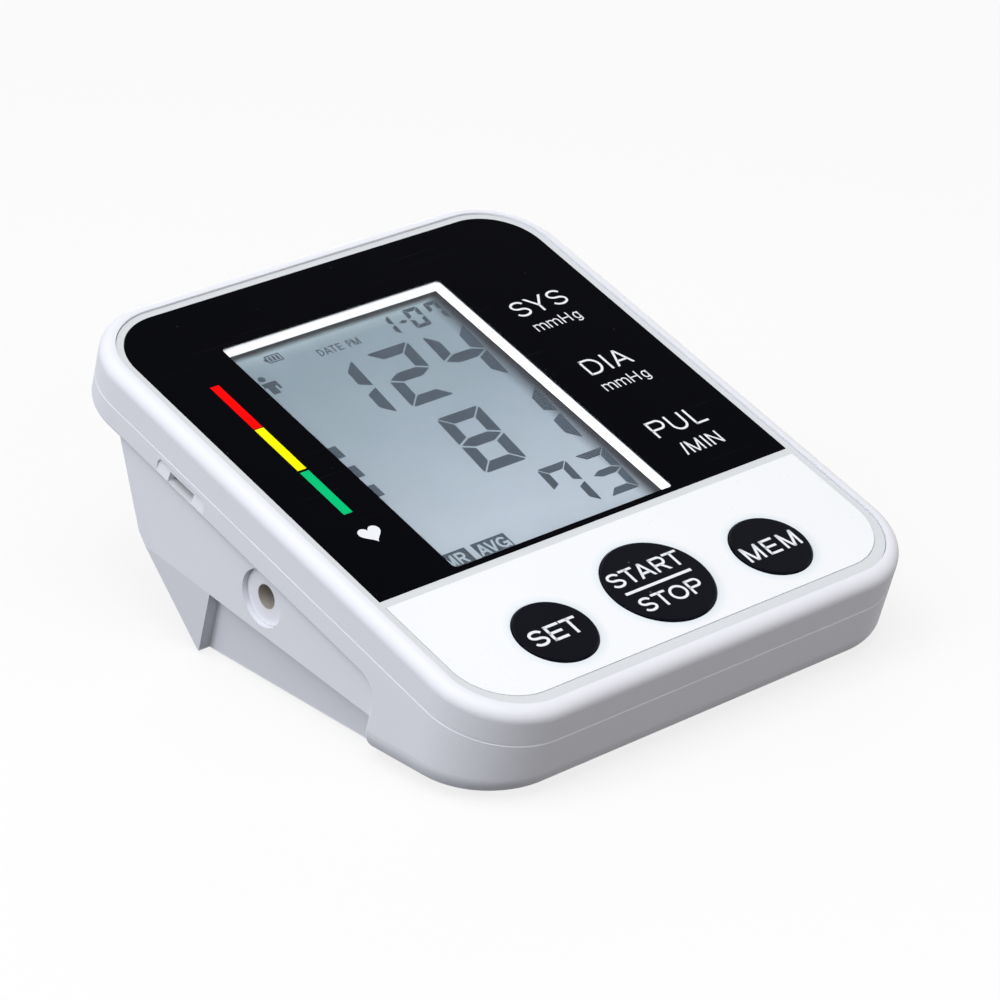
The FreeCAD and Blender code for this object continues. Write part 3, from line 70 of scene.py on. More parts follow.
class Nodes:
    """Fills one node tree."""

    def __init__(self, tree):
        self.tree = tree

    def add(self, kind, inputs=None, **settings):
        node = self.tree.nodes.new(kind)
        for name, value in settings.items():
            setattr(node, name, value)
        for name, value in (inputs or {}).items():
            self.feed(node.inputs[name], value)
        return node

    def feed(self, socket, value):
        if isinstance(value, bpy.types.NodeSocket):
            self.tree.links.new(value, socket)
        else:
            socket.default_value = value

    def math(self, operation, first, second=0.0, clamp=False):
        node = self.add("ShaderNodeMath", {0: first, 1: second}, operation=operation, use_clamp=clamp)
        return node.outputs[0]

    def vector(self, operation, first, second):
        """Vector maths: a dot product and a distance come out as a value, the rest as a vector."""
        node = self.add("ShaderNodeVectorMath", {0: first, 1: second}, operation=operation)
        return node.outputs["Value" if operation in ("DOT_PRODUCT", "DISTANCE") else "Vector"]

    def span(self, value, low, high, out_low=0.0, out_high=1.0):
        """Stretch a value between two ends onto two others."""
        inputs = {"Value": value, "From Min": low, "From Max": high, "To Min": out_low, "To Max": out_high}
        return self.add("ShaderNodeMapRange", inputs).outputs["Result"]

    def drift(self, tone, out_low, out_high):
        """Let a value follow a noise between two ends."""
        return self.span(tone, NOISE_LOW, NOISE_HIGH, out_low, out_high)

    def mix(self, share, first, second):
        node = self.add("ShaderNodeMix", data_type="RGBA")
        self.feed(node.inputs[0], share)
        self.feed(node.inputs[6], first)
        self.feed(node.inputs[7], second)
        return node.outputs[2]

    def here(self):
        """Position on the object."""
        return self.add("ShaderNodeTexCoord").outputs["Object"]

    def place(self, scale=(1.0, 1.0, 1.0), turn=(0.0, 0.0, 0.0)):
        """Position on the object, stretched and turned."""
        inputs = {"Vector": self.here(), "Scale": scale, "Rotation": turn}
        return self.add("ShaderNodeMapping", inputs).outputs[0]

    def noise(self, where, scale, detail=3.0, rough=0.55, warp=0.0):
        inputs = {"Vector": where, "Scale": scale, "Detail": detail, "Roughness": rough, "Distortion": warp}
        return self.add("ShaderNodeTexNoise", inputs).outputs["Fac"]

    def group(self, tree, **inputs):
        node = self.add("ShaderNodeGroup", node_tree=tree)
        for name, value in inputs.items():
            self.feed(node.inputs[name.replace("_", " ").title()], value)
        return node.outputs


def effect(name, inputs, outputs):
    """Empty node group with named number sockets."""
    tree = bpy.data.node_groups.new(name, "ShaderNodeTree")
    for socket, value in inputs.items():
        tree.interface.new_socket(socket, in_out="INPUT", socket_type="NodeSocketFloat").default_value = value
    for socket in outputs:
        tree.interface.new_socket(socket, in_out="OUTPUT", socket_type="NodeSocketFloat")
    nodes = Nodes(tree)
    return tree, nodes, nodes.add("NodeGroupInput").outputs, nodes.add("NodeGroupOutput").inputs


def moulded_grain():
    """Fine skin of moulded plastic, with slow drift in its tone."""
    tree, n, given, out = effect("moulded_grain", {"Grain": 2600.0}, ("Height", "Tone"))
    where = n.place()
    n.feed(out["Height"], n.noise(where, given["Grain"], detail=2.0, rough=0.6))
    n.feed(out["Tone"], n.noise(where, scale=55.0, detail=3.0, rough=0.5, warp=0.4))
    return tree


def worn_edge():
    """Rubbed line along sharp edges."""
    tree, n, given, out = effect("worn_edge", {"Width": 0.0005, "Reach": 1.0}, ("Mask",))
    rounded = n.add("ShaderNodeBevel", {"Radius": given["Width"]}, samples=4).outputs["Normal"]
    flat = n.add("ShaderNodeNewGeometry").outputs["Normal"]
    edge = n.span(n.vector("DOT_PRODUCT", rounded, flat), low=0.985, high=0.86)
    broken = n.span(n.noise(n.place(), scale=420.0, detail=4.0, rough=0.65), low=0.38, high=0.62)
    n.feed(out["Mask"], n.math("MULTIPLY", n.math("MULTIPLY", edge, broken), given["Reach"], clamp=True))
    return tree


def handling():
    """Finger smears and specks of dust from use."""
    tree, n, given, out = effect("handling", {"Smear": 1.0, "Specks": 1.0}, ("Smear", "Dust"))
    where = n.place()
    smear = n.span(n.noise(where, scale=38.0, detail=4.0, rough=0.6, warp=1.2), low=0.46, high=0.72)
    n.feed(out["Smear"], n.math("MULTIPLY", smear, given["Smear"]))
    cell = n.add("ShaderNodeTexVoronoi", {"Vector": where, "Scale": 330.0, "Randomness": 1.0})
    speck = n.span(cell.outputs["Distance"], low=0.085, high=0.05)
    rare = n.span(n.noise(where, scale=90.0, detail=2.0), low=0.56, high=0.6)
    n.feed(out["Dust"], n.math("MULTIPLY", n.math("MULTIPLY", speck, rare), given["Specks"]))
    return tree


def hairlines():
    """Fine straight scratches in two directions."""
    tree, n, given, out = effect("hairlines", {"Amount": 1.0}, ("Mask",))
    fineness = 1500.0
    total = None
    for turn, length in ((0.5, 16.0), (-0.85, 22.0)):
        where = n.place(scale=(length, fineness, fineness), turn=(0.0, 0.0, turn))
        line = n.span(n.noise(where, scale=1.0, detail=1.0, rough=0.4), low=0.71, high=0.78)
        total = line if total is None else n.math("MAXIMUM", total, line)
    patch = n.span(n.noise(n.place(), scale=45.0, detail=2.0), low=0.45, high=0.6)
    n.feed(out["Mask"], n.math("MULTIPLY", n.math("MULTIPLY", total, patch), given["Amount"]))
    return tree


def drawn_metal():
    """Fine parallel lines of rolled or turned metal."""
    tree, n, given, out = effect("drawn_metal", {"Pitch": 3500.0}, ("Height", "Tone"))
    here = n.here()
    stretch = n.add("ShaderNodeCombineXYZ", {"X": 60.0, "Y": given["Pitch"], "Z": given["Pitch"]}).outputs[0]
    where = n.vector("MULTIPLY", here, stretch)
    n.feed(out["Height"], n.noise(where, scale=1.0, detail=2.0, rough=0.5))
    n.feed(out["Tone"], n.noise(n.place(), scale=160.0, detail=3.0, rough=0.6, warp=0.5))
    return tree


def face_place():
    """Distance across and up the display face."""
    tree, n, _, out = effect("face_place", {}, ("Across", "Up"))
    here = n.here()
    up = n.vector("DOT_PRODUCT", n.vector("SUBTRACT", here, FACE_EDGE), FACE_UP)
    n.feed(out["Across"], n.add("ShaderNodeSeparateXYZ", {0: here}).outputs["X"])
    n.feed(out["Up"], up)
    return tree


GRAIN = moulded_grain()
EDGE = worn_edge()
TOUCH = handling()
LINES = hairlines()
METAL = drawn_metal()
PLACE = face_place()


# Finishes, with colours as red, green and blue from 0 to 1 and depths of relief in metres

WHITE = (0.84, 0.85, 0.905)
# Paler bluish white, painted light on the slope round the display window
WINDOW_PAINTED_LIGHT = (0.89, 0.92, 0.945)
DUST = (0.42, 0.41, 0.4)
RUBBED_DARK = (0.16, 0.16, 0.17)

# A plastic paler than this rubs darker at its edges, by this factor
PALE, RUBBED = 0.4, 0.82


def shade(colour, factor=1.0):
    return tuple(min(1.0, part * factor) for part in colour) + (1.0,)


def finish(name, **fixed):
    """New material with one Principled shader and its plain values."""
    material = bpy.data.materials.new(name)
    material.use_nodes = True
    nodes = Nodes(material.node_tree)
    shader = next(node for node in material.node_tree.nodes if node.type == "BSDF_PRINCIPLED")
    for socket, value in fixed.items():
        shader.inputs[socket.replace("_", " ")].default_value = value
    return material, nodes, shader


def bump(nodes, shader, height, depth, strength=1.0):
    """Let a height stand out of the surface by a depth in metres."""
    relief = nodes.add("ShaderNodeBump", {"Strength": strength, "Distance": depth, "Height": height})
    nodes.feed(shader.inputs["Normal"], relief.outputs["Normal"])


def window_slope(n):
    """Mask of the slope round the display window, inside the window's own outline, where painted light is
    laid.
    """
    spot = n.group(PLACE)
    mask = None
    for place, low, high in (("Across", WINDOW_LEFT, WINDOW_RIGHT), ("Up", WINDOW_FRONT, WINDOW_REAR)):
        middle, half = (low + high) / 2.0 * MM, (high - low) / 2.0 * MM
        inside = n.math("LESS_THAN", n.math("ABSOLUTE", n.math("SUBTRACT", spot[place], middle)), half)
        mask = inside if mask is None else n.math("MULTIPLY", mask, inside)
    return mask


def plastic(name, colour, rough, grain=2600.0, depth=6e-6, wear=0.3, smear=0.06, dust=0.25, drift=0.05,
            painted_light=None, **fixed):
    """Moulded plastic with skin grain, rubbed edges, smears and dust, and painted light, a paler bluish
    white, on a masked part where asked.
    """
    material, n, shader = finish(name, **fixed)
    skin = n.group(GRAIN, grain=grain)
    rubbed = n.group(EDGE, reach=wear)["Mask"]
    touch = n.group(TOUCH, smear=1.0, specks=dust)
    base = n.mix(skin["Tone"], shade(colour, 1.0 - drift), shade(colour, 1.0 + drift))
    base = n.mix(rubbed, base, shade(colour, RUBBED) if max(colour) > PALE else shade(RUBBED_DARK))
    base = n.mix(touch["Dust"], base, shade(DUST))
    # Painted light: the masked part turns a paler bluish white
    if painted_light:
        base = n.mix(painted_light(n), base, shade(WINDOW_PAINTED_LIGHT))
    n.feed(shader.inputs["Base Color"], base)
    spread, rubbed_rough = 0.03, 0.15
    matt = n.math("ADD", n.drift(skin["Tone"], rough - spread, rough + spread),
                  n.math("MULTIPLY", touch["Smear"], smear))
    matt = n.math("ADD", matt, n.math("MULTIPLY", rubbed, rubbed_rough), clamp=True)
    n.feed(shader.inputs["Roughness"], matt)
    bump(n, shader, skin["Height"], depth)
    return material


def metal(name, colour, rough, pitch=3500.0, depth=4e-6):
    """Bare metal with drawing lines and a slightly cloudy tone."""
    material, n, shader = finish(name, Metallic=1.0)
    lines = n.group(METAL, pitch=pitch)
    rubbed = n.group(EDGE, width=0.0003, reach=0.5)["Mask"]
    dull, bright, polished = 0.8, 1.12, 1.3
    smoother, rougher = 0.06, 0.1
    base = n.mix(lines["Tone"], shade(colour, dull), shade(colour, bright))
    n.feed(shader.inputs["Base Color"], n.mix(rubbed, base, shade(colour, polished)))
    n.feed(shader.inputs["Roughness"], n.drift(lines["Tone"], rough - smoother, rough + rougher))
    bump(n, shader, lines["Height"], depth)
    return material


def rubber(name, colour, rough=0.75, depth=1.2e-5, **fixed):
    """Matt rubber with a pebbled skin and pale dust."""
    material, n, shader = finish(name, **fixed)
    skin = n.group(GRAIN, grain=1500.0)
    touch = n.group(TOUCH, smear=1.0, specks=0.6)
    fresh, faded, dusty = 0.75, 1.3, (0.3, 0.29, 0.28)
    smeared = 0.12
    base = n.mix(skin["Tone"], shade(colour, fresh), shade(colour, faded))
    base = n.mix(touch["Dust"], base, shade(dusty))
    n.feed(shader.inputs["Base Color"], base)
    n.feed(shader.inputs["Roughness"], n.span(touch["Smear"], 0.0, 1.0, rough, rough - smeared))
    bump(n, shader, skin["Height"], depth)
    return material


def black_panel():
    """Gloss black back-printed sheet with hairline scratches."""
    material, n, shader = finish("black_gloss", Specular_IOR_Level=0.01)
    skin = n.group(GRAIN, grain=900.0)
    touch = n.group(TOUCH, smear=1.0, specks=0.35)
    scratch = n.group(LINES, amount=0.5)["Mask"]
    deep, lifted = (0.0007, 0.0009, 0.0022), (0.0012, 0.0014, 0.0032)
    scratched, dusty = (0.012, 0.013, 0.018), (0.05, 0.05, 0.055)
    base = n.mix(skin["Tone"], shade(deep), shade(lifted))
    base = n.mix(scratch, base, shade(scratched))
    n.feed(shader.inputs["Base Color"], n.mix(touch["Dust"], base, shade(dusty)))
    gloss, smear_rough, scratch_rough = 0.07, 0.05, 0.25
    matt = n.math("ADD", n.math("MULTIPLY", touch["Smear"], smear_rough),
                  n.math("MULTIPLY", scratch, scratch_rough))
    n.feed(shader.inputs["Roughness"], n.math("ADD", matt, gloss))
    bump(n, shader, skin["Height"], 1e-6)
    return material


def key_sheet(keys):
    """White back-printed sheet, pressed up in a soft bluish ring round each key."""
    material, n, shader = finish("key_sheet", Specular_IOR_Level=0.4)
    spot = n.group(PLACE)
    flat = n.add("ShaderNodeCombineXYZ", {"X": spot["Across"], "Y": spot["Up"]}).outputs[0]
    near = None
    for centre_across, centre_up, radius in keys:
        apart = n.vector("DISTANCE", flat, (centre_across * MM, centre_up * MM, 0.0))
        gap = n.math("SUBTRACT", apart, radius * MM)
        near = gap if near is None else n.math("MINIMUM", near, gap)
    ring_outside, ring_inside = 1.9 * MM, 0.4 * MM
    ring = n.span(near, ring_outside, ring_inside)
    skin = n.group(GRAIN, grain=1800.0)
    touch = n.group(TOUCH, smear=1.0, specks=0.2)
    darker, paler = (0.9, 0.92, 0.945), (0.925, 0.942, 0.97)
    bluish, dusty = (0.79, 0.86, 0.91), (0.5, 0.5, 0.5)
    ring_share, ring_height, grain_share = 0.9, 0.12 * MM, 0.03
    base = n.mix(skin["Tone"], shade(darker), shade(paler))
    base = n.mix(n.math("MULTIPLY", ring, ring_share), base, shade(bluish))
    n.feed(shader.inputs["Base Color"], n.mix(touch["Dust"], base, shade(dusty)))
    n.feed(shader.inputs["Roughness"], n.span(touch["Smear"], 0.0, 1.0, out_low=0.2, out_high=0.3))
    relief = n.math("ADD", ring, n.math("MULTIPLY", skin["Height"], grain_share))
    bump(n, shader, relief, ring_height, strength=0.6)
    return material


def clear_pane():
    """Clear acrylic window with a blackened rim, that lets lamp light through to the display."""
    clear = (1.0, 1.0, 1.0, 1.0)
    material, n, shader = finish("clear_pane", Base_Color=clear, IOR=1.22, Transmission_Weight=1.0)
    touch = n.group(TOUCH, smear=1.0, specks=0.0)
    scratch = n.group(LINES, amount=0.6)["Mask"]
    smear_rough, scratch_rough = 0.015, 0.08
    matt = n.math("ADD", n.math("MULTIPLY", touch["Smear"], smear_rough),
                  n.math("MULTIPLY", scratch, scratch_rough))
    n.feed(shader.inputs["Roughness"], matt)
    lamp = n.add("ShaderNodeLightPath").outputs["Is Shadow Ray"]
    pass_light = n.add("ShaderNodeBsdfTransparent")
    facing = n.add("ShaderNodeNewGeometry").outputs["True Normal"]
    level = n.vector("DOT_PRODUCT", facing, FACE_OUT)
    least_level, blackened = 0.5, (0.002, 0.002, 0.004)
    rim = n.math("LESS_THAN", n.math("ABSOLUTE", level), least_level)
    dark = n.add("ShaderNodeBsdfDiffuse", {"Color": shade(blackened)})
    body = n.add("ShaderNodeMixShader", {0: rim, 1: shader.outputs[0], 2: dark.outputs[0]})
    choice = n.add("ShaderNodeMixShader", {0: lamp, 1: body.outputs[0], 2: pass_light.outputs[0]})
    result = next(node for node in material.node_tree.nodes if node.type == "OUTPUT_MATERIAL")
    n.feed(result.inputs["Surface"], choice.outputs[0])
    return material


def display_plate():
    """Grey-blue display glass, paler towards its foot, with painted shade along its right and rear edges and
    a painted gleam just before the rear one.
    """
    material, n, shader = finish("display_plate", Specular_IOR_Level=0.1)
    spot = n.group(PLACE)
    rear_tone, foot_tone = (0.143, 0.19, 0.226), (0.283, 0.33, 0.376)
    gleam_tone, painted_shade_tone = (0.235, 0.298, 0.33), (0.018, 0.022, 0.034)
    fall_curve, gleam_curve, right_shade_curve = 1.4, 1.6, 1.05
    gleam_share, rear_shade_share, painted_shade_share = 0.8, 0.85, 0.98
    fall = n.math("POWER", n.span(spot["Up"], low=98.0 * MM, high=46.0 * MM), fall_curve)
    cloud = n.noise(n.place(), scale=70.0, detail=3.0, rough=0.5, warp=0.6)
    share = n.math("ADD", fall, n.span(cloud, low=0.3, high=0.7, out_low=-0.03, out_high=0.05), clamp=True)
    base = n.mix(share, shade(rear_tone), shade(foot_tone))
    # Painted gleam: a paler band just in front of the rear edge
    gleam = n.math("POWER", n.span(spot["Up"], low=101.2 * MM, high=104.2 * MM), gleam_curve)
    base = n.mix(n.math("MULTIPLY", gleam, gleam_share), base, shade(gleam_tone))
    # Painted shade along the right and rear edges of the glass, where the window's lip overhangs it
    right = n.math("POWER", n.span(spot["Across"], low=16.4 * MM, high=20.1 * MM), right_shade_curve)
    rear_painted_shade = n.math("MULTIPLY", n.span(spot["Up"], low=104.3 * MM, high=105.7 * MM), rear_shade_share)
    edge = n.math("MULTIPLY", n.math("MAXIMUM", right, rear_painted_shade), painted_shade_share)
    n.feed(shader.inputs["Base Color"], n.mix(edge, base, shade(painted_shade_tone)))
    skin = n.group(GRAIN, grain=6000.0)
    n.feed(shader.inputs["Roughness"], n.drift(skin["Tone"], 0.36, 0.46))
    bump(n, shader, skin["Height"], 2e-6)
    return material


def ink(name, colour, rough=0.35, drift=0.06):
    """Screen-printed ink with a slightly uneven film."""
    material, n, shader = finish(name, Specular_IOR_Level=0.02)
    film = n.group(GRAIN, grain=5200.0)
    base = n.mix(film["Height"], shade(colour, 1.0 - drift), shade(colour, 1.0 + drift))
    n.feed(shader.inputs["Base Color"], base)
    smoother, rougher = 0.05, 0.08
    n.feed(shader.inputs["Roughness"], n.drift(film["Tone"], rough - smoother, rough + rougher))
    bump(n, shader, film["Height"], 2e-6)
    return material


def air_fitting():
    """White moulded socket with a bare buff bore."""
    material, n, shader = finish("air_fitting")
    where = n.vector("MULTIPLY", n.here(), (0.0, 1.0, 1.0))
    apart = n.vector("DISTANCE", where, (0.0, BORE_BACK * MM, BORE_UP * MM))
    outside, inside = (BORE_RADIUS + 0.12) * MM, (BORE_RADIUS + 0.02) * MM
    bore = n.span(apart, outside, inside)
    skin = n.group(GRAIN, grain=1500.0)
    darker, paler, buff = 0.96, 1.03, (0.52, 0.48, 0.43)
    base = n.mix(skin["Tone"], shade(WHITE, darker), shade(WHITE, paler))
    n.feed(shader.inputs["Base Color"], n.mix(bore, base, shade(buff)))
    n.feed(shader.inputs["Roughness"], n.drift(skin["Tone"], 0.36, 0.46))
    bump(n, shader, skin["Height"], 8e-6)
    return material


def circuit_board():
    """Green lacquer over copper runs, with the runs a little raised and darker."""
    material, n, shader = finish("circuit_board")
    where = n.place(turn=(FACE_TILT, 0.0, 0.0))
    maze = n.add("ShaderNodeTexBrick", {"Vector": where, "Scale": 160.0, "Mortar Size": 0.06, "Bias": 0.2})
    runs = n.math("SUBTRACT", 1.0, maze.outputs["Fac"])
    skin = n.group(GRAIN, grain=2200.0)
    ground, copper, stained = (0.045, 0.2, 0.075), (0.014, 0.105, 0.04), (0.01, 0.06, 0.03)
    stain_share = 0.25
    base = n.mix(runs, shade(ground), shade(copper))
    base = n.mix(n.math("MULTIPLY", skin["Tone"], stain_share), base, shade(stained))
    n.feed(shader.inputs["Base Color"], base)
    n.feed(shader.inputs["Roughness"], n.drift(skin["Tone"], 0.3, 0.42))
    bump(n, shader, runs, 3e-5)
    return material


def zebra_rubber():
    """Elastomer strip with fine dark conducting layers across it."""
    material, n, shader = finish("zebra_rubber")
    wave = {"Vector": n.place(), "Scale": 900.0, "Distortion": 0.3}
    bands = n.add("ShaderNodeTexWave", wave, bands_direction="X").outputs["Fac"]
    carbon, clear = (0.04, 0.04, 0.045), (0.5, 0.5, 0.52)
    n.feed(shader.inputs["Base Color"], n.mix(bands, shade(carbon), shade(clear)))
    skin = n.group(GRAIN, grain=3000.0)
    n.feed(shader.inputs["Roughness"], n.drift(skin["Tone"], 0.6, 0.75))
    bump(n, shader, skin["Height"], 5e-6)
    return material


def cell_jacket():
    """Printed jacket of a dry cell, with a pale band towards one end."""
    material, n, shader = finish("cell_jacket", Coat_Weight=0.3, Coat_Roughness=0.15)
    along = n.add("ShaderNodeSeparateXYZ", {0: n.here()}).outputs["Y"]
    band_front, band_rear = -3.0 * MM, 6.0 * MM
    band = n.math("MULTIPLY", n.math("GREATER_THAN", along, band_front),
                  n.math("LESS_THAN", along, band_rear))
    skin = n.group(GRAIN, grain=1200.0)
    navy, blue = (0.02, 0.09, 0.2), (0.035, 0.13, 0.27)
    silver, bare = (0.55, 0.56, 0.58), (0.6, 0.6, 0.6)
    base = n.mix(skin["Tone"], shade(navy), shade(blue))
    base = n.mix(band, base, shade(silver))
    rubbed = n.group(EDGE, reach=0.7)["Mask"]
    n.feed(shader.inputs["Base Color"], n.mix(rubbed, base, shade(bare)))
    n.feed(shader.inputs["Roughness"], n.drift(skin["Tone"], 0.28, 0.4))
    bump(n, shader, skin["Height"], 3e-6)
    return material


SHELL = dict(rough=0.42, grain=1700.0, depth=9e-6, wear=0.14, smear=0.05, dust=0.12, drift=0.015,
             Specular_IOR_Level=0.12)
FINISHES = {
    "white_shell": plastic("white_shell", WHITE, **SHELL),
    # The top case carries painted light on the slope round its display window
    "upper_shell": plastic("upper_shell", WHITE, painted_light=window_slope, **SHELL),
    "grey_film": plastic("grey_film", (0.69, 0.715, 0.74), rough=0.38, grain=2400.0, depth=3e-6,
                         wear=0.0, smear=0.05, dust=0.15, drift=0.03),
    "black_gloss": black_panel(),
    "clear_pane": clear_pane(),
    "key_sheet": key_sheet(KEYS.values()),
    "key_black": plastic("key_black", (0.0025, 0.003, 0.006), rough=0.34, grain=1900.0, depth=5e-6,
                         wear=0.2, smear=0.1, dust=0.2, drift=0.3, Specular_IOR_Level=0.03),
    "display_plate": display_plate(),
    "dark_rubber": rubber("dark_rubber", (0.022, 0.022, 0.025)),
    "inner_white": plastic("inner_white", (0.8, 0.81, 0.83), rough=0.5, grain=1400.0, depth=1.2e-5,
                           wear=0.2, smear=0.08, dust=0.3, drift=0.04),
    "zebra_rubber": zebra_rubber(),
    "dark_component": plastic("dark_component", (0.022, 0.022, 0.026), rough=0.55, grain=1600.0, depth=1.2e-5,
                              wear=0.4, smear=0.1, dust=0.5, drift=0.2),
    "circuit_board": circuit_board(),
    "plated_steel": metal("plated_steel", (0.62, 0.63, 0.65), rough=0.3),
    "air_fitting": air_fitting(),
    "dull_steel": metal("dull_steel", (0.55, 0.54, 0.52), rough=0.45),
    "buff_plastic": plastic("buff_plastic", (0.6, 0.54, 0.42), rough=0.5, grain=1600.0, depth=8e-6,
                            wear=0.2, smear=0.06, dust=0.3, drift=0.05),
    "socket_grey": plastic("socket_grey", (0.66, 0.675, 0.7), rough=0.45, grain=1500.0, depth=1e-5,
                           wear=0.25, smear=0.08, dust=0.3, drift=0.05),
    "silicone": rubber("silicone", (0.62, 0.63, 0.61), rough=0.5, depth=6e-6, Subsurface_Weight=0.2),
    "turned_brass": metal("turned_brass", (0.74, 0.53, 0.22), rough=0.28, pitch=2800.0),
    "cell_jacket": cell_jacket(),
    "bright_nickel": metal("bright_nickel", (0.7, 0.69, 0.65), rough=0.2, pitch=2000.0),
    "wire_red": plastic("wire_red", (0.42, 0.02, 0.018), rough=0.42, grain=1500.0, depth=8e-6,
                        wear=0.1, smear=0.06, dust=0.3, drift=0.15),
    "white_ink": ink("white_ink", (0.86, 0.88, 0.92)),
    "red_ink": ink("red_ink", (0.95, 0.001, 0.001)),
    "yellow_ink": ink("yellow_ink", (0.96, 0.95, 0.002)),
    "green_ink": ink("green_ink", (0.001, 0.56, 0.19)),
    "display_ink": ink("display_ink", (0.027, 0.042, 0.06), rough=0.4, drift=0.04),
    "display_pale": ink("display_pale", (0.28, 0.335, 0.38), rough=0.4),
}

CLOTHES = {
    "upper_shell": ("top_case",),
    "white_shell": ("bottom_case", "battery_door"),
    "grey_film": ("border_film",),
    "black_gloss": ("display_panel",),
    "clear_pane": ("display_window",),
    "key_sheet": ("key_panel",),
    "key_black": ("set_button", "start_button", "memory_button"),
    "display_plate": ("display_glass",),
    "dark_rubber": ("display_gasket", "pump_cushions", "rubber_feet"),
    "inner_white": ("display_holder", "air_manifold", "set_plunger", "start_plunger", "memory_plunger"),
    "zebra_rubber": ("connector_strips",),
    "dark_component": ("key_switches", "processor", "buzzer", "board_parts"),
    "buff_plastic": ("usb_contacts",),
    "circuit_board": ("main_board",),
    "dull_steel": ("usb_port",),
    "plated_steel": ("pump_motor", "exhaust_valve", "case_screws", "board_screws"),
    "air_fitting": ("air_socket",),
    "socket_grey": ("pump_head", "pressure_sensor"),
    "silicone": ("socket_hose", "sensor_hose", "pump_hose", "valve_hose"),
    "turned_brass": ("pump_cam", "valve_plunger"),
    "cell_jacket": ("battery_cells",),
    "bright_nickel": ("battery_contacts",),
    "wire_red": ("hookup_wires",),
}
for coat, names in CLOTHES.items():
    for name in names:
        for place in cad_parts[name].material_slots:
            place.material = FINISHES[coat]


# Printed pieces, with places across and up the display face in millimetres

SAME_POINT = 1e-6


def piece(name, mesh, coat, body):
    """Hang a mesh that is already in place on a body."""
    made = bpy.data.objects.new(name, mesh)
    bpy.context.scene.collection.objects.link(made)
    mesh.materials.clear()
    mesh.materials.append(FINISHES[coat])
    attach(made, body)
    return made


def block(left, right, low, high):
    return [(left, low), (right, low), (right, high), (left, high)]


def arc(across, up, wide, tall, start, end, count=14):
    """Points along part of an oval, from one angle to another in degrees."""
    turns = [math.radians(start + (end - start) * i / count) for i in range(count + 1)]
    return [(across + wide * math.cos(turn), up + tall * math.sin(turn)) for turn in turns]


def slant(start, end, thick):
    """Sloping stroke with level ends, from the middle of one end to the middle of the other."""
    half = thick / 2.0 * math.dist(start, end) / abs(end[1] - start[1])
    return [(start[0] - half, start[1]), (start[0] + half, start[1]),
            (end[0] + half, end[1]), (end[0] - half, end[1])]


def stroke(line, thick):
    """Rails on both sides of a line of points."""
    looped = math.dist(line[0], line[-1]) < SAME_POINT
    left, right = [], []
    for i, (across, up) in enumerate(line):
        before = line[i - 1] if i else line[-2] if looped else line[0]
        after = line[i + 1] if i + 1 < len(line) else line[1] if looped else line[-1]
        run = Vector((after[0] - before[0], after[1] - before[1])).normalized() * thick / 2.0
        left.append((across - run.y, up + run.x))
        right.append((across + run.y, up - run.x))
    return left, right


def stamp(name, outlines, strokes, base, coat, body):
    """Thin flat print on the face, from closed outlines and from strokes given by their two rails."""
    corners, faces = [], []

    def add(points):
        first = len(corners)
        for level in (base, base + INK):
            corners.extend(on_face(across, up, level) for across, up in points)
        return first, first + len(points)

    for outline in outlines:
        area = sum(a[0] * b[1] - b[0] * a[1] for a, b in zip(outline, outline[1:] + outline[:1]))
        low, high = add(outline if area > 0.0 else outline[::-1])
        count = high - low
        faces.append(tuple(range(high - 1, low - 1, -1)))
        faces.append(tuple(range(high, high + count)))
        faces.extend((low + i, low + (i + 1) % count, high + (i + 1) % count, high + i) for i in range(count))
    for left, right in strokes:
        low, high = add(left)
        under, over = add(right)
        last = len(left) - 1
        for i in range(last):
            faces.append((high + i, over + i, over + i + 1, high + i + 1))
            faces.append((low + i, low + i + 1, under + i + 1, under + i))
            faces.append((low + i, high + i, high + i + 1, low + i + 1))
            faces.append((under + i, under + i + 1, over + i + 1, over + i))
        faces.append((low, under, over, high))
        faces.append((low + last, high + last, over + last, under + last))
    mesh = bpy.data.meshes.new(name)
    mesh.from_pydata(corners, [], faces)
    return piece(name, mesh, coat, body)


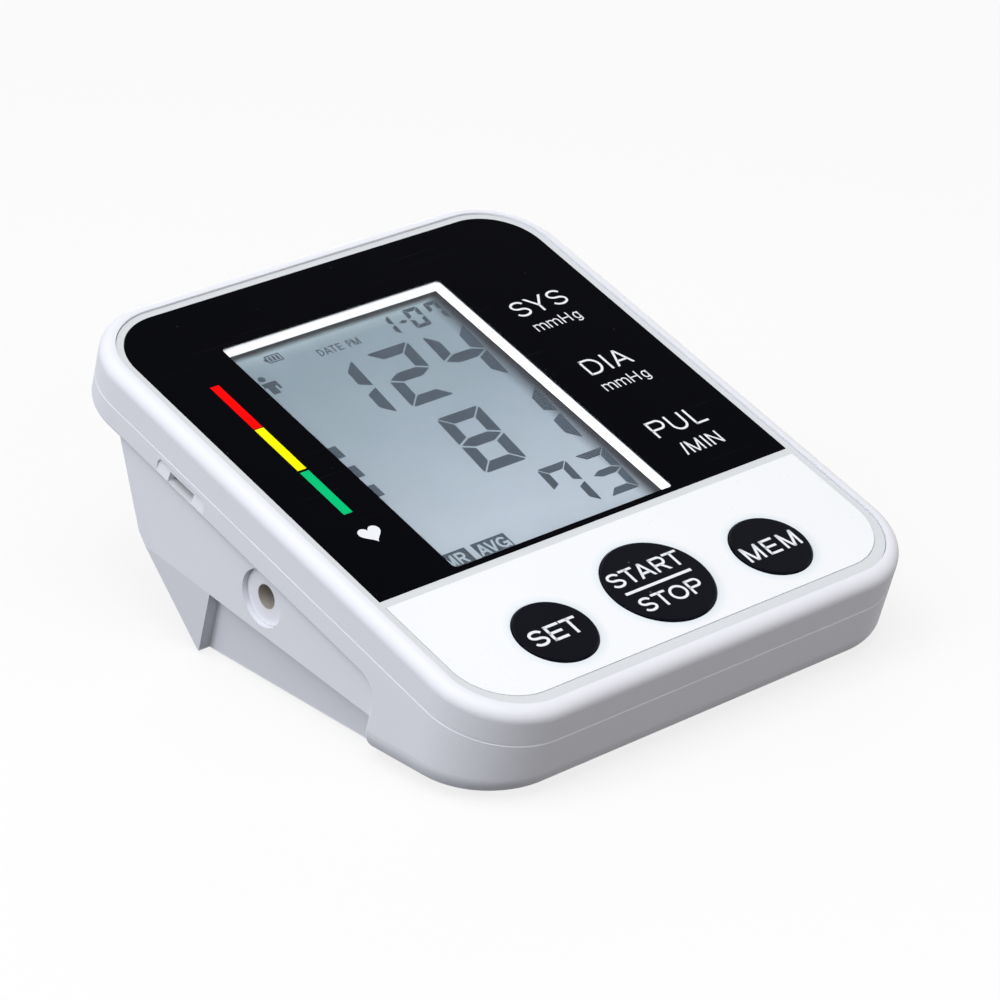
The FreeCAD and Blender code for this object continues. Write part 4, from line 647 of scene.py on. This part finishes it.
def letter(sign, wide, tall, thick):
    """Outlines and lines of one plain letter in a box with its lower left corner at zero."""
    half = thick / 2.0
    left, right, low, high = half, wide - half, half, tall - half
    middle, centre = tall / 2.0, wide / 2.0
    stem = [(left, 0.0), (left, tall)]
    post = [(right, 0.0), (right, tall)]
    mast = [(centre, 0.0), (centre, tall)]
    foot = [(0.0, low), (wide, low)]
    cap = [(0.0, high), (wide, high)]
    rise = (high - low) / 2.0
    waist, fork, shelf, bar = 0.46 * tall, 0.4 * tall, 0.44 * tall, 0.31 * tall
    round_end = min(rise, 0.62 * wide)
    bowl = (high - waist) / 2.0
    loop = [(0.0, high)] + arc(right - bowl, high - bowl, bowl, bowl, 90, -90) + [(0.0, waist)]
    turn = (right - left) / 2.0
    upper, lower = (high - middle) / 2.0, (middle - low) / 2.0
    lean = thick * 0.55
    far = wide - lean
    small = 0.76 * tall
    bend = (centre - left) / 2.0
    crest = small - half - bend
    drop = -0.26 * tall
    tail = turn * 0.8
    shapes = {
        "A": ([slant((lean, 0.0), (centre, tall), thick), slant((far, 0.0), (centre, tall), thick)],
              [[(0.22 * wide, bar), (0.78 * wide, bar)]]),
        "D": ([], [stem, [(0.0, high)] + arc(right - round_end, middle, round_end, rise, 90, -90)
                   + [(0.0, low)]]),
        "E": ([], [stem, foot, [(0.0, middle), (0.93 * wide, middle)], cap]),
        "G": ([], [arc(centre, middle, turn, rise, 42, 335, 24), [(centre, shelf), (wide, shelf)],
                   [(right, 0.0), (right, middle)]]),
        "H": ([], [stem, post, [(0.0, middle), (wide, middle)]]),
        "I": ([], [mast]),
        "L": ([], [stem, foot]),
        "M": ([slant((left, tall), (centre, 0.0), thick), slant((right, tall), (centre, 0.0), thick)],
              [stem, post]),
        "N": ([slant((left, tall), (right, 0.0), thick)], [stem, post]),
        "O": ([], [arc(centre, middle, turn, rise, 0, 360, 36)]),
        "P": ([], [stem, loop]),
        "R": ([slant((0.52 * wide, waist), (far, 0.0), thick)], [stem, loop]),
        "S": ([], [arc(centre, middle + upper, turn * 0.94, upper, 15, 270, 18)
                   + arc(centre, middle - lower, turn, lower, 90, -165, 18)[1:]]),
        "T": ([], [cap, mast]),
        "U": ([], [[(left, tall)] + arc(centre, low + turn, turn, turn, 180, 360) + [(right, tall)]]),
        "V": ([slant((lean, tall), (centre, 0.0), thick), slant((far, tall), (centre, 0.0), thick)], []),
        "Y": ([slant((lean, tall), (centre, fork), thick), slant((far, tall), (centre, fork), thick)],
              [[(centre, 0.0), (centre, 0.45 * tall)]]),
        "/": ([slant((lean, 0.0), (far, tall), thick)], []),
        "m": ([], [[(left, 0.0), (left, small)],
                   [(left, 0.5 * small)] + arc(left + bend, crest, bend, bend, 180, 0) + [(centre, 0.0)],
                   [(centre, 0.5 * small)] + arc(centre + bend, crest, bend, bend, 180, 0) + [(right, 0.0)]]),
        "g": ([], [arc(centre, small / 2.0, turn, small / 2.0 - half, 0, 360, 28),
                   [(right, small)] + arc(centre, drop + half + tail, turn, tail, 0, -155)]),
    }
    return shapes[sign]


def lettering(name, signs, sides, low, high, thick, base, coat, body, slot):
    """Printed word: each sign between its own left and right side, from the foot line to the height of
    the capitals."""
    outlines, strokes = [], []
    for i, sign in enumerate(signs):
        start, end = sides[2 * i], sides[2 * i + 1]
        shapes, lines = letter(sign, end - start, high - low, thick)
        outlines += [[(start + across, low + up) for across, up in shape] for shape in shapes]
        strokes += [stroke([(start + across, low + up) for across, up in line], thick) for line in lines]
    return stamp(name, outlines, strokes, base, coat, body)


def plates(name, outlines, base, coat, body, slot):
    return stamp(name, outlines, [], base, coat, body)


PANEL = (PANEL_TOP, "white_ink", "case", "white_panel")
UNIT_SIDES = (28.55, 31.35, 31.81, 34.65, 35.23, 37.34, 38.15, 39.65)
for name, signs, sides, low, high, thick in (
        ("label_upper", "SYS", (28.0, 31.6, 32.0, 36.4, 37.1, 40.8), 89.5, 94.0, 0.5),
        ("label_upper_unit", "mmHg", UNIT_SIDES, 84.6, 87.3, 0.28),
        ("label_lower", "DIA", (29.0, 33.0, 34.1, 34.75, 35.6, 39.8), 69.5, 74.0, 0.5),
        ("label_lower_unit", "mmHg", UNIT_SIDES, 64.5, 67.2, 0.28),
        ("label_rate", "PUL", (28.1, 31.9, 32.8, 36.5, 37.7, 40.8), 49.3, 53.9, 0.5),
        ("label_rate_unit", "/MIN", (29.8, 31.1, 31.5, 34.6, 35.5, 36.0, 36.7, 39.4), 43.1, 46.5, 0.38)):
    lettering(name, signs, sides, low, high, thick, *PANEL)

BAR_LEFT, BAR_RIGHT = -39.7, -37.75
for name, coat, low, high in (
        ("bar_high", "red_ink", 84.2, 97.5),
        ("bar_middle", "yellow_ink", 71.2, 84.0),
        ("bar_low", "green_ink", 57.8, 70.6)):
    plates(name, [block(BAR_LEFT, BAR_RIGHT, low, high)], PANEL_TOP, coat, "case", "white_panel")


def heart(across, up, size, count=48):
    """Outline of a plain heart of a given width."""
    curve_width = 32.0
    points = []
    for i in range(count):
        turn = 2.0 * math.pi * i / count
        wide = 16.0 * math.sin(turn) ** 3
        tall = (13.0 * math.cos(turn) - 5.0 * math.cos(2 * turn)
                - 2.0 * math.cos(3 * turn) - math.cos(4 * turn))
        points.append((across + wide * size / curve_width, up + tall * size / curve_width))
    return points[::-1]


plates("heart_mark", [heart(-38.55, 51.6, 4.6)], *PANEL)

for name, signs, body, sides, low, high, thick in (
        ("set_word", "SET", "set_key", (-31.6, -28.2, -27.6, -24.3, -24.0, -20.5), 13.85, 17.85, 0.6),
        ("start_word", "START", "start_key",
         (-8.75, -5.65, -5.4, -2.4, -2.4, 1.1, 1.6, 4.75, 5.0, 8.25), 19.5, 23.25, 0.54),
        ("stop_word", "STOP", "start_key",
         (-7.6, -4.6, -4.25, -1.0, -0.75, 3.1, 3.6, 6.75), 12.1, 15.75, 0.54),
        ("memory_word", "MEM", "memory_key", (19.1, 23.0, 24.0, 27.0, 28.1, 31.9), 13.85, 17.85, 0.55)):
    lettering(name, signs, sides, low, high, thick, KEY_TOP, "white_ink", body, "white_panel")
plates("start_line", [block(-8.1, 7.5, 17.35, 18.0)], KEY_TOP, "white_ink", "start_key", "white_panel")


# Moulded marks on the battery door, with places across and back in millimetres

def raised(name, outlines, low, high, inset, coat, body):
    """Low moulded blocks under the case, from outlines seen from above, drawn in a little at their lower
    end."""
    corners, faces = [], []
    for outline in outlines:
        count = len(outline)
        across = sum(point[0] for point in outline) / count
        along = sum(point[1] for point in outline) / count
        first = len(corners)
        for level, pull in ((high, 0.0), (low + inset, 0.0), (low, inset)):
            for x, y in outline:
                far = math.dist((x, y), (across, along))
                keep = 1.0 - pull / far
                corners.append(Vector((across + (x - across) * keep, along + (y - along) * keep, level)) * MM)
        faces.append(tuple(range(first, first + count)))
        faces.append(tuple(range(first + 3 * count - 1, first + 2 * count - 1, -1)))
        for ring in (first, first + count):
            for i in range(count):
                after = (i + 1) % count
                faces.append((ring + i, ring + count + i, ring + count + after, ring + after))
    mesh = bpy.data.meshes.new(name)
    mesh.from_pydata(corners, [], faces)
    return piece(name, mesh, coat, body)


def pill(across, along, long, wide, count=8):
    """Outline of a bar with round ends, lying across."""
    reach, half = long / 2.0 - wide / 2.0, wide / 2.0
    return (arc(across + reach, along, half, half, -90, 90, count)
            + arc(across - reach, along, half, half, 90, 270, count))


# Grip bars in the thumb dip of the door: the dip's middle and roof, and the bars' own sizes
DIP_BACK, DIP_ROOF = 8.595, 1.3
GRIP_REACH, GRIP_PITCH, GRIP_WIDTH, GRIP_FOOT, GRIP_INSET = 5.8, 2.0, 0.9, 0.72, 0.15
grip = []
for step in (-2, -1, 0, 1, 2):
    aside = step * GRIP_PITCH
    length = 2.0 * math.sqrt(GRIP_REACH ** 2 - aside ** 2)
    grip.append(pill(0.0, DIP_BACK + aside, length, GRIP_WIDTH))
raised("door_grip", grip, GRIP_FOOT, DIP_ROOF, GRIP_INSET, "white_shell", "door")

# Arrow that points at the dip: its tail, neck and tip, the half widths of head and shaft, and its heights
ARROW_TAIL, ARROW_NECK, ARROW_TIP = -11.5, -5.2, -0.8
HEAD_HALF, SHAFT_HALF = 3.6, 1.1
ARROW_FOOT, ARROW_ROOF, ARROW_INSET = 0.3, 0.6, 0.1
arrow = [[(-HEAD_HALF, ARROW_NECK), (HEAD_HALF, ARROW_NECK), (0.0, ARROW_TIP)],
         block(-SHAFT_HALF, SHAFT_HALF, ARROW_TAIL, ARROW_NECK)]
raised("door_arrow", arrow, ARROW_FOOT, ARROW_ROOF, ARROW_INSET, "grey_film", "door")

# Display segments
SEGMENTS = {
    "0": "abcdef", "1": "bc", "2": "abged", "3": "abgcd", "4": "fgbc", "7": "abcf", "8": "abcdefg", "-": "g",
}
LEAN = math.tan(math.radians(5.5))


def digit(sign, left, right, low, high, thick):
    """Outlines of the lit segments of one digit, with thin mitred gaps, cut corners and a light lean."""
    middle = (low + high) / 2.0
    half, slit, cut = thick / 2.0, thick * 0.09, thick * 0.26
    near, far = (cut - slit) / 2.0, (cut + slit) / 2.0
    inner = thick + slit
    point = slit * 1.6

    def level(edge, inward):
        return [(left + cut, edge), (right - cut, edge), (right - far, edge + inward * near),
                (right - inner, edge + inward * thick), (left + inner, edge + inward * thick),
                (left + far, edge + inward * near)]

    def upright(edge, inward, end, down):
        waist = middle + down * point
        return [(edge, waist), (edge, end - down * cut), (edge + inward * near, end - down * far),
                (edge + inward * thick, end - down * inner), (edge + inward * thick, waist + down * half)]

    shapes = {
        "a": level(high, -1.0),
        "d": level(low, 1.0),
        "g": [(left + point, middle), (left + inner, middle + half), (right - inner, middle + half),
              (right - point, middle), (right - inner, middle - half), (left + inner, middle - half)],
        "f": upright(left, 1.0, high, 1.0),
        "e": upright(left, 1.0, low, -1.0),
        "b": upright(right, -1.0, high, 1.0),
        "c": upright(right, -1.0, low, -1.0),
    }
    return [[(across + (up - middle) * LEAN, up) for across, up in shapes[part]] for part in SEGMENTS[sign]]


DISPLAY = (GLASS_TOP, "display_ink", "case", "display")

# Foot, head and thickness of each line of digits, and each digit's left and right side
UPPER, LOWER = (79.6, 96.1, 2.55), (58.4, 74.9, 2.55)
RATE, DATE = (42.8, 54.9, 1.75), (98.4, 104.2, 0.95)
for name, size, signs in (
        ("reading_upper", UPPER, (("1", -18.4, -8.4), ("2", -4.9, 5.15), ("4", 8.7, 18.65))),
        ("reading_lower", LOWER, (("8", -4.9, 5.2), ("1", 8.9, 19.0))),
        ("reading_rate", RATE, (("7", 2.9, 9.85), ("3", 12.1, 19.05))),
        ("reading_date", DATE, (("1", 4.2, 7.2), ("-", 8.2, 10.5), ("0", 10.85, 14.4), ("7", 16.0, 19.1)))):
    shapes = [shape for sign, left, right in signs for shape in digit(sign, left, right, *size)]
    plates(name, shapes, *DISPLAY)

DATE_SIDES = (-11.9, -10.7, -10.5, -9.0, -9.0, -7.75, -7.4, -6.3, -5.0, -4.0, -3.8, -2.2)
lettering("reading_words", "DATEPM", DATE_SIDES, 99.3, 101.3, 0.26, *DISPLAY)

# Battery sign: an outline of one line width, a nose and three bars of charge
CELL_LEFT, CELL_RIGHT, CELL_LOW, CELL_HIGH, CELL_LINE = -22.2, -18.8, 101.65, 103.8, 0.25
cell_floor, cell_roof = CELL_LOW + CELL_LINE, CELL_HIGH - CELL_LINE
battery = [block(CELL_LEFT, CELL_RIGHT, cell_roof, CELL_HIGH),
           block(CELL_LEFT, CELL_RIGHT, CELL_LOW, cell_floor),
           block(CELL_RIGHT - CELL_LINE, CELL_RIGHT, cell_floor, cell_roof),
           block(CELL_LEFT, CELL_LEFT + CELL_LINE, cell_floor, cell_roof),
           block(-22.65, CELL_LEFT, 102.3, 103.15)]
battery += [block(left, left + 0.5, 102.1, 103.35) for left in (-21.6, -20.75, -19.9)]
plates("battery_sign", battery, *DISPLAY)

# User sign: a round head, shoulders, a trunk and an arm
user = [arc(-26.6, 98.45, 0.75, 0.75, 0, 345, 23),
        block(-27.6, -24.4, 95.9, 97.2),
        block(-27.1, -25.5, 93.8, 95.9),
        block(-24.95, -24.4, 94.9, 95.9)]
plates("user_sign", user, *DISPLAY)

# Level tabs and flags, from the left edge of what the display shows
SHOWN_LEFT = -29.0
tabs = [block(SHOWN_LEFT, right, low, high)
        for right, low, high in ((-26.2, 73.6, 76.9), (-26.35, 67.7, 70.95), (-26.5, 61.8, 65.1))]
plates("level_tabs", tabs, *DISPLAY)
FLAG_LOW, FLAG_HIGH = 40.2, 43.85
flags = [block(left, right, FLAG_LOW, FLAG_HIGH) for left, right in ((SHOWN_LEFT, -22.9), (-21.5, -13.85))]
plates("flag_boxes", flags, *DISPLAY)
for name, signs, sides in (
        ("flag_memory", "MR", (-28.6, -26.5, -26.1, -24.0)),
        ("flag_average", "AVG", (-21.3, -18.9, -19.1, -16.8, -16.75, -14.2))):
    lettering(name, signs, sides, 40.35, 43.2, 0.5, GLASS_TOP + INK, "display_pale", "case", "display")


# Studio: floor, world, lamps and camera, in metres

FLOOR_HALF, FLOOR_LEVEL = 6.0, -5e-5
FLOOR_GLOW = 0.78
FLOOR_BOUNCE = (0.04, 0.04, 0.045)
PAPER_DARKER, PAPER_PALER = (0.9, 0.9, 0.9), (0.92, 0.92, 0.92)
CONTACT_REACH = 0.0013
AMBIENT = 0.38
PLAIN_WHITE = (1.0, 1.0, 1.0)


def shown_white(nodes):
    """1 for rays that look at the background, straight or by mirror or glass, with nothing matt between."""
    path = nodes.add("ShaderNodeLightPath").outputs
    seen = nodes.math("MAXIMUM", path["Is Camera Ray"], path["Is Glossy Ray"])
    seen = nodes.math("MAXIMUM", seen, path["Is Transmission Ray"])
    return nodes.math("MULTIPLY", seen, nodes.math("LESS_THAN", path["Diffuse Depth"], 0.5))


def floor_finish():
    """Pale paper that looks white to the camera and takes the object's shadow. It is clear from below, and
    lets light up to what lies right over it, so that the underside can be looked at."""
    material = bpy.data.materials.new("floor_paper")
    material.use_nodes = True
    material.node_tree.nodes.clear()
    n = Nodes(material.node_tree)
    paper = n.noise(n.place(), scale=900.0, detail=2.0)
    white = n.mix(paper, shade(PAPER_DARKER), shade(PAPER_PALER))
    seen = shown_white(n)
    matt = n.add("ShaderNodeBsdfDiffuse", {"Color": n.mix(seen, shade(FLOOR_BOUNCE), white)})
    glow = n.add("ShaderNodeEmission", {"Color": shade(PLAIN_WHITE), "Strength": 1.0})
    share = n.math("MULTIPLY", seen, FLOOR_GLOW)
    blend = n.add("ShaderNodeMixShader", {0: share, 1: matt.outputs[0], 2: glow.outputs[0]})
    path = n.add("ShaderNodeLightPath").outputs
    close = n.math("LESS_THAN", path["Ray Length"], CONTACT_REACH)
    gap = n.math("MULTIPLY", path["Is Diffuse Ray"], close)
    below = n.math("MAXIMUM", n.add("ShaderNodeNewGeometry").outputs["Backfacing"], gap)
    clear = n.add("ShaderNodeBsdfTransparent")
    sided = n.add("ShaderNodeMixShader", {0: below, 1: blend.outputs[0], 2: clear.outputs[0]})
    n.add("ShaderNodeOutputMaterial", {"Surface": sided.outputs[0]})
    return material


floor_mesh = bpy.data.meshes.new("studio_floor")
floor_outline = block(-FLOOR_HALF, FLOOR_HALF, -FLOOR_HALF, FLOOR_HALF)
floor_mesh.from_pydata([(x, y, FLOOR_LEVEL) for x, y in floor_outline], [], [(0, 1, 2, 3)])
floor_mesh.materials.append(floor_finish())
studio_floor = bpy.data.objects.new("studio_floor", floor_mesh)
bpy.context.scene.collection.objects.link(studio_floor)

sky = bpy.data.worlds.new("studio")
sky.use_nodes = True
sky.node_tree.nodes.clear()
air = Nodes(sky.node_tree)
strength = air.span(shown_white(air), 0.0, 1.0, AMBIENT, 1.0)
backdrop = air.add("ShaderNodeBackground", {"Color": shade(PLAIN_WHITE), "Strength": strength})
air.add("ShaderNodeOutputWorld", {"Surface": backdrop.outputs[0]})
bpy.context.scene.world = sky

LAMP_AIM = Vector((0.0, 0.0, 0.02))


def soft_box(name, spot, size, power, tint):
    """Square soft lamp aimed at the object."""
    lamp = bpy.data.lights.new(name, "AREA")
    lamp.color = tint
    lamp.size = size
    lamp.energy = power
    lamp.cycles.use_multiple_importance_sampling = False
    holder = bpy.data.objects.new(name, lamp)
    holder.location = spot
    holder.rotation_euler = (LAMP_AIM - Vector(spot)).to_track_quat("-Z", "Y").to_euler()
    bpy.context.scene.collection.objects.link(holder)


soft_box("key_lamp", spot=(-0.52, -0.22, 1.12), size=1.1, power=10.4, tint=PLAIN_WHITE)
soft_box("side_lamp", spot=(-1.3, 0.25, 0.24), size=0.9, power=7.4, tint=(0.87, 0.915, 1.0))
soft_box("front_lamp", spot=(0.3, -1.3, 0.5), size=0.9, power=3.7, tint=(1.0, 0.97, 0.955))
soft_box("back_lamp", spot=(1.1, 1.15, 0.28), size=0.9, power=6.0, tint=(0.97, 0.98, 1.0))

SENSOR_MM, LENS_MM = 36.0, 143.9
CAMERA_SPOT = (-0.434, -0.4995, 0.3317)
CAMERA_AIM = Vector((0.59587, 0.68335, -0.42187))
eye = bpy.data.cameras.new("photo_camera")
eye.sensor_width = SENSOR_MM
eye.lens = LENS_MM
camera = bpy.data.objects.new("photo_camera", eye)
camera.location = CAMERA_SPOT
camera.rotation_euler = CAMERA_AIM.to_track_quat("-Z", "Y").to_euler()
bpy.context.scene.collection.objects.link(camera)
bpy.context.scene.camera = camera
bpy.context.scene.view_settings.view_transform = "Standard"
